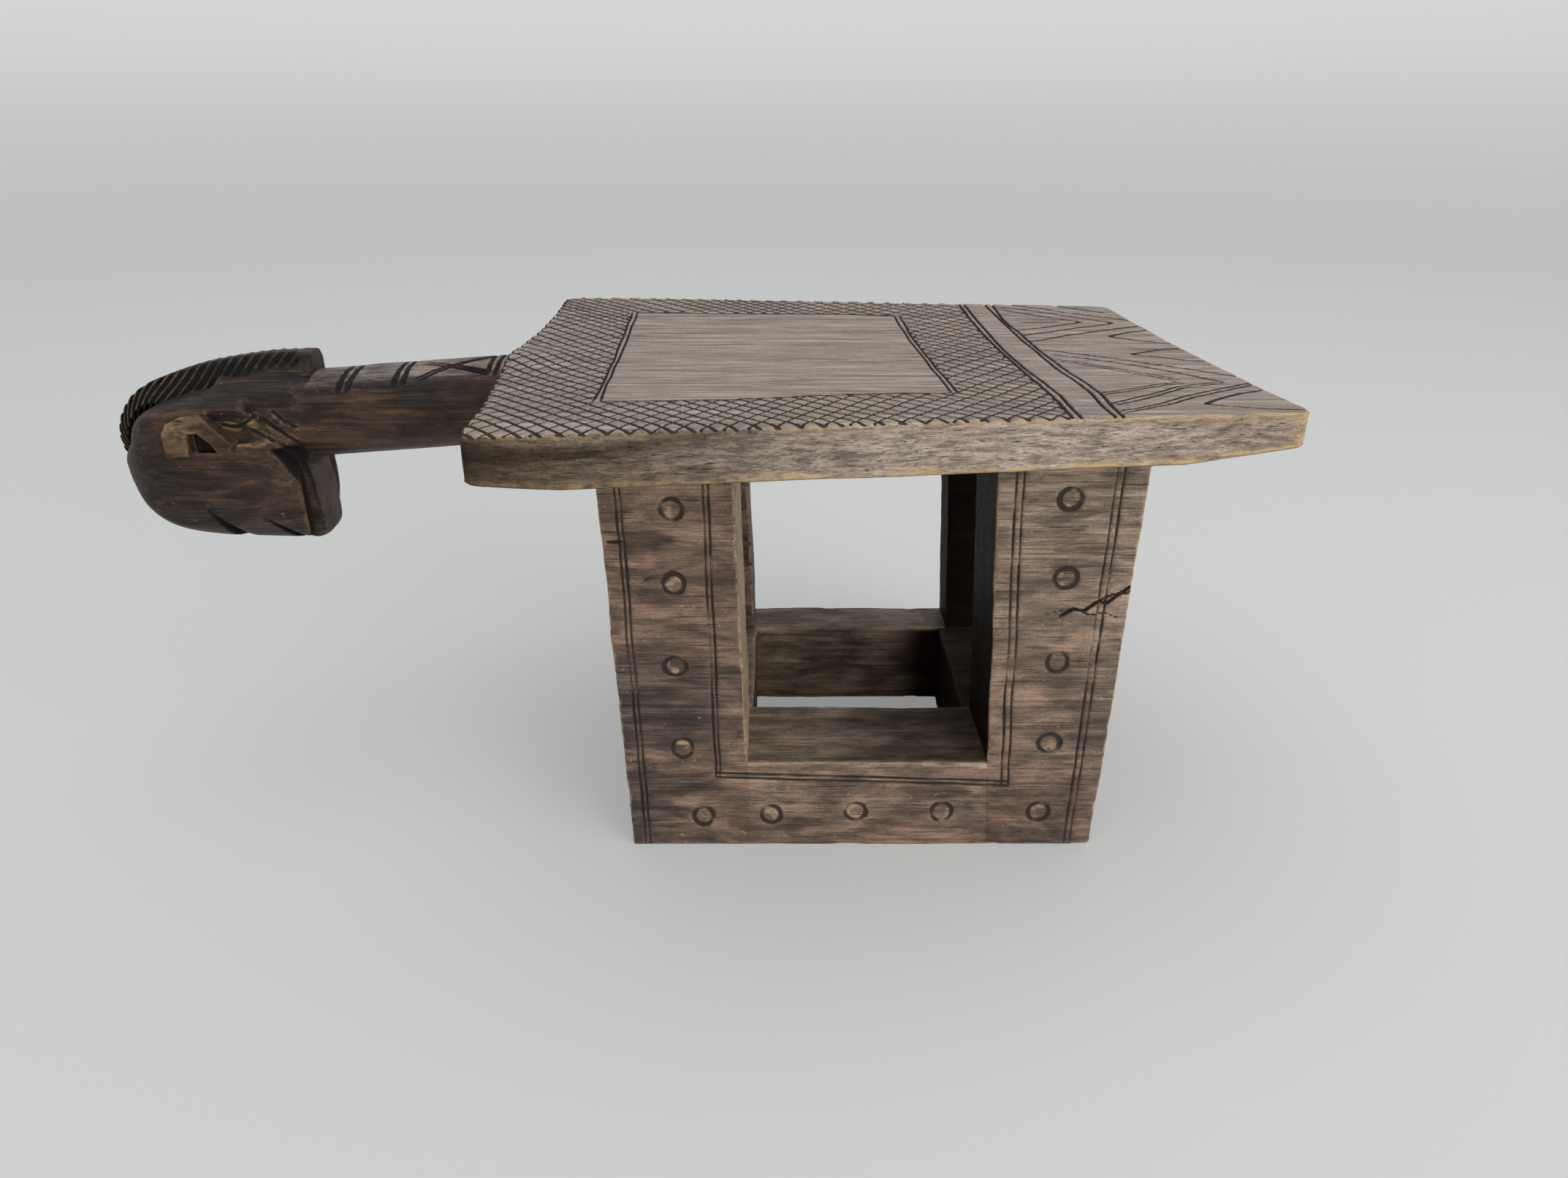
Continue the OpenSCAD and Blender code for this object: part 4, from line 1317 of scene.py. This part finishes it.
def wood(name, dark, mid, light, streak, mottled, toned, gold, cut, rough, specular, patchy=(0.36, 0.6)):
    """Old carved wood. dark, mid and light are its own colours, and toned are those where the tone is 1.

    streak and mottled are how strongly the light streaks and the blotches show, and patchy is the range of
    the large patches: the narrower it is, the harder their edges.
    """
    paint = Paint(name)
    patches = paint.grain((70, 34, 34), 4, 0.62, 0.4, 1.0)
    streaks = paint.grain((64, 1.9, 1.9), 6, 0.68, 0.0, 5.0)
    fibres = paint.grain((26, 0.5, 0.5), 3, 0.6, 0.0, 9.0)
    checks = paint.grain((48, 0.9, 0.9), 2, 0.5, 0.0, 15.0)
    mottle = paint.grain((30, 9, 9), 5, 0.62, 0.5, 25.0)
    grit = paint.grain((1.6, 0.9, 0.9), 3, 0.7, 0.0, 29.0)
    colour = paint.mix(paint.between(patches, *patchy), dark, mid)
    colour = paint.mix(paint.times(paint.between(streaks, 0.4, 0.74), streak), colour, light)
    # tone pales the wood: bleaching and dust, and in places painted light
    tone = paint.attribute("tone")
    toned_colour = paint.mix(paint.between(streaks, 0.36, 0.64), toned[0], toned[1])
    toned_colour = paint.mix(paint.times(paint.between(patches, 0.5, 0.7), 0.6), toned_colour, toned[2])
    colour = paint.mix(tone, colour, toned_colour)
    blotches = paint.math("MULTIPLY_ADD", paint.between(mottle, 0.34, 0.66), mottled, add=1 - mottled / 2)
    grains = paint.math("MULTIPLY_ADD", paint.between(grit, 0.3, 0.7), 0.4, add=0.8)
    colour = paint.scaled(colour, paint.times(blotches, grains))
    pores = paint.between(fibres, 0.46, 0.34)
    open_checks = paint.between(checks, 0.365, 0.3)
    fine = paint.math("MAXIMUM", paint.times(pores, 0.5), paint.times(open_checks, 0.85))
    colour = paint.mix(fine, colour, tuple(0.35 * c for c in dark))
    scuffs = paint.between(paint.grain((10, 3.5, 3.5), 5, 0.7, 0.0, 13.0), 0.36, 0.58)
    # wear turns the wood gold; on a few faces that gold is painted light
    worn = paint.times(paint.attribute("wear"), scuffs, True)
    colour = paint.mix(paint.times(worn, 0.85), colour, gold)
    specks = paint.between(paint.grain((3.2, 2.4, 2.4), 2, 0.5, 0.0, 21.0), 0.7, 0.76)
    colour = paint.mix(paint.times(specks, 0.4), colour, gold)
    # shade darkens the colour nearly to black and dims the shine; for the most part it is painted shade
    shade = paint.attribute("shade")
    colour = paint.mix(shade, colour, tuple(0.12 * c for c in dark))
    depth = paint.between(paint.attribute("cut"), 0.05, 0.32)
    colour = paint.mix(paint.times(depth, 0.94), colour, cut)
    paint.set("Base Color", colour)
    shine = paint.node("ShaderNodeMapRange", {
        "Value": streaks, "From Min": 0.3, "From Max": 0.75, "To Min": rough[0], "To Max": rough[1],
    }).outputs["Result"]
    shine = paint.math("ADD", shine, paint.times(depth, 0.25), True)
    paint.set("Roughness", shine)
    bright = paint.math("SUBTRACT", 1.0, paint.times(shade, 0.93))
    paint.set("Specular IOR Level", paint.times(bright, specular))
    relief = paint.math("ADD", paint.times(streaks, 0.5), paint.times(fibres, 0.6))
    relief = paint.math("SUBTRACT", relief, fine)
    bump = paint.node("ShaderNodeBump", {"Height": relief, "Strength": 0.6, "Distance": 0.0006})
    paint.set("Normal", bump.outputs["Normal"])
    return paint.material


SEAT_WOOD = wood(
    "seat_wood", dark=(0.045, 0.026, 0.016), mid=(0.12, 0.075, 0.046), light=(0.28, 0.185, 0.105), streak=0.8,
    mottled=0.14, toned=((0.185, 0.142, 0.113), (0.45, 0.375, 0.315), (0.33, 0.25, 0.18)),
    gold=(0.48, 0.33, 0.17), cut=(0.018, 0.012, 0.01), rough=(0.62, 0.8), specular=0.35,
)
BASE_WOOD = wood(
    "base_wood", dark=(0.04, 0.025, 0.019), mid=(0.16, 0.095, 0.064), light=(0.25, 0.18, 0.13), streak=0.4,
    mottled=1.0, toned=((0.18, 0.125, 0.085), (0.31, 0.23, 0.165), (0.4, 0.31, 0.22)),
    gold=(0.47, 0.34, 0.2), cut=(0.02, 0.013, 0.01), rough=(0.45, 0.7), specular=0.35, patchy=(0.42, 0.56),
)
HEAD_WOOD = wood(
    "head_wood", dark=(0.0065, 0.0042, 0.0032), mid=(0.036, 0.0185, 0.011), light=(0.12, 0.064, 0.031),
    streak=0.5, mottled=1.2, toned=((0.105, 0.08, 0.067), (0.2, 0.16, 0.14), (0.14, 0.11, 0.09)),
    gold=(0.3, 0.19, 0.09), cut=(0.004, 0.003, 0.0025), rough=(0.33, 0.58), specular=0.28,
    patchy=(0.42, 0.56),
)

base_member("front_left_upright", BASE_WOOD, 0.8, LEFT_CUTS, RAIL_CUTS)
base_member("front_right_upright", BASE_WOOD, 0.8, RIGHT_CUTS, RAIL_CUTS)
base_member("front_rail", BASE_WOOD, 0.8, (), RAIL_CUTS)
for label in ("rear_left_upright", "rear_right_upright", "rear_rail", "left_rail", "right_rail"):
    base_member(label, BASE_WOOD, 1.8)
build_seat(SEAT_WOOD)
build_neck(HEAD_WOOD)
build_head(HEAD_WOOD)
build_crest(HEAD_WOOD)
build_ear("front_ear", -1, HEAD_WOOD)
build_ear("rear_ear", 1, HEAD_WOOD)


# Floor, light and camera

FLOOR_SEEN = (0.385, 0.385, 0.38)
WALL_SEEN = (0.5, 0.505, 0.51)
FLOOR_GLOW = 0.62
# The photograph's camera, with its lengths in pixels and its pitch in degrees
PHOTO_WIDTH = 2146
FOCAL_PIXELS = 1500
PITCH_DOWN = 23.78


def build_stage():
    """A pale floor that turns up into a low wall far behind and around the stool."""
    rings = [(radius, 0.0) for radius in (0.6, 1.4, 2.2, 2.8)]
    for turn in np.radians(range(15, 91, 15)):
        rings.append((2.8 + 1.2 * math.sin(turn), 1.2 * (1 - math.cos(turn))))
    count = 96
    turns = np.linspace(0, 2 * math.pi, count, endpoint=False)
    points = [(radius * math.cos(a), radius * math.sin(a), height) for radius, height in rings for a in turns]
    ids = np.arange(len(points)).reshape(len(rings), count)
    faces = [list(range(count))] + sheet(np.hstack([ids, ids[:, :1]]))[:, ::-1].tolist()
    mesh = bpy.data.meshes.new("floor")
    mesh.from_pydata(points, [], faces)
    for polygon in mesh.polygons:
        polygon.use_smooth = True
    paint = Paint("floor")
    cloud = paint.grain((900, 900, 900), 2)
    pale = paint.mix(cloud, (0.66, 0.66, 0.65), (0.7, 0.7, 0.69))
    # To the camera the floor shines a little, so its shadows stay as light as the photograph's
    seen = paint.node("ShaderNodeLightPath", {}).outputs["Is Camera Ray"]
    height = paint.node("ShaderNodeSeparateXYZ", {0: paint.place}).outputs["Z"]
    wall = paint.between(height, 0.02, 0.8)
    own = paint.mix(wall, FLOOR_SEEN, WALL_SEEN)
    paint.set("Base Color", paint.mix(seen, pale, own))
    paint.set("Emission Color", own)
    paint.set("Emission Strength", paint.times(seen, FLOOR_GLOW))
    paint.set("Roughness", 0.6)
    mesh.materials.append(paint.material)
    floor = bpy.data.objects.new("floor", mesh)
    bpy.context.scene.collection.objects.link(floor)


def area_light(name, place, aim, size, power, colour):
    lamp = bpy.data.lights.new(name, "AREA")
    lamp.shape = "DISK"
    lamp.size = size
    lamp.energy = power
    lamp.color = colour
    light = bpy.data.objects.new(name, lamp)
    light.location = place
    light.rotation_euler = (Vector(aim) - Vector(place)).to_track_quat("-Z", "Y").to_euler()
    bpy.context.scene.collection.objects.link(light)


def build_light():
    world = bpy.data.worlds.new("studio")
    world.use_nodes = True
    background = world.node_tree.nodes["Background"]
    background.inputs["Color"].default_value = (0.95, 0.97, 1.0, 1.0)
    background.inputs["Strength"].default_value = 0.62
    bpy.context.scene.world = world
    area_light("window", (1.8, -1.5, 1.5), (0.05, 0, 0.15), 2.0, 16, (1.0, 0.985, 0.96))
    area_light("ceiling", (-0.3, -0.2, 2.6), (0, 0, 0), 2.6, 18, (0.97, 0.985, 1.0))
    area_light("low", (1.5, -2.0, 0.5), (0.05, 0, 0.12), 1.4, 30, (1.0, 0.985, 0.96))


def build_camera():
    """The photograph's camera. Its place, pitch and focal length come from a fit to the base."""
    lens = bpy.data.cameras.new("camera")
    lens.sensor_width = 36.0
    lens.lens = lens.sensor_width * FOCAL_PIXELS / PHOTO_WIDTH
    lens.clip_end = 50
    camera = bpy.data.objects.new("camera", lens)
    camera.location = ((BASE_X - 41.25) * MM, (BASE_Y - 574.9) * MM, 0.36)
    camera.rotation_euler = (math.radians(90 - PITCH_DOWN), 0, 0)
    bpy.context.scene.collection.objects.link(camera)
    bpy.context.scene.camera = camera


build_stage()
build_light()
build_camera()
bpy.context.scene.view_settings.view_transform = "Standard"
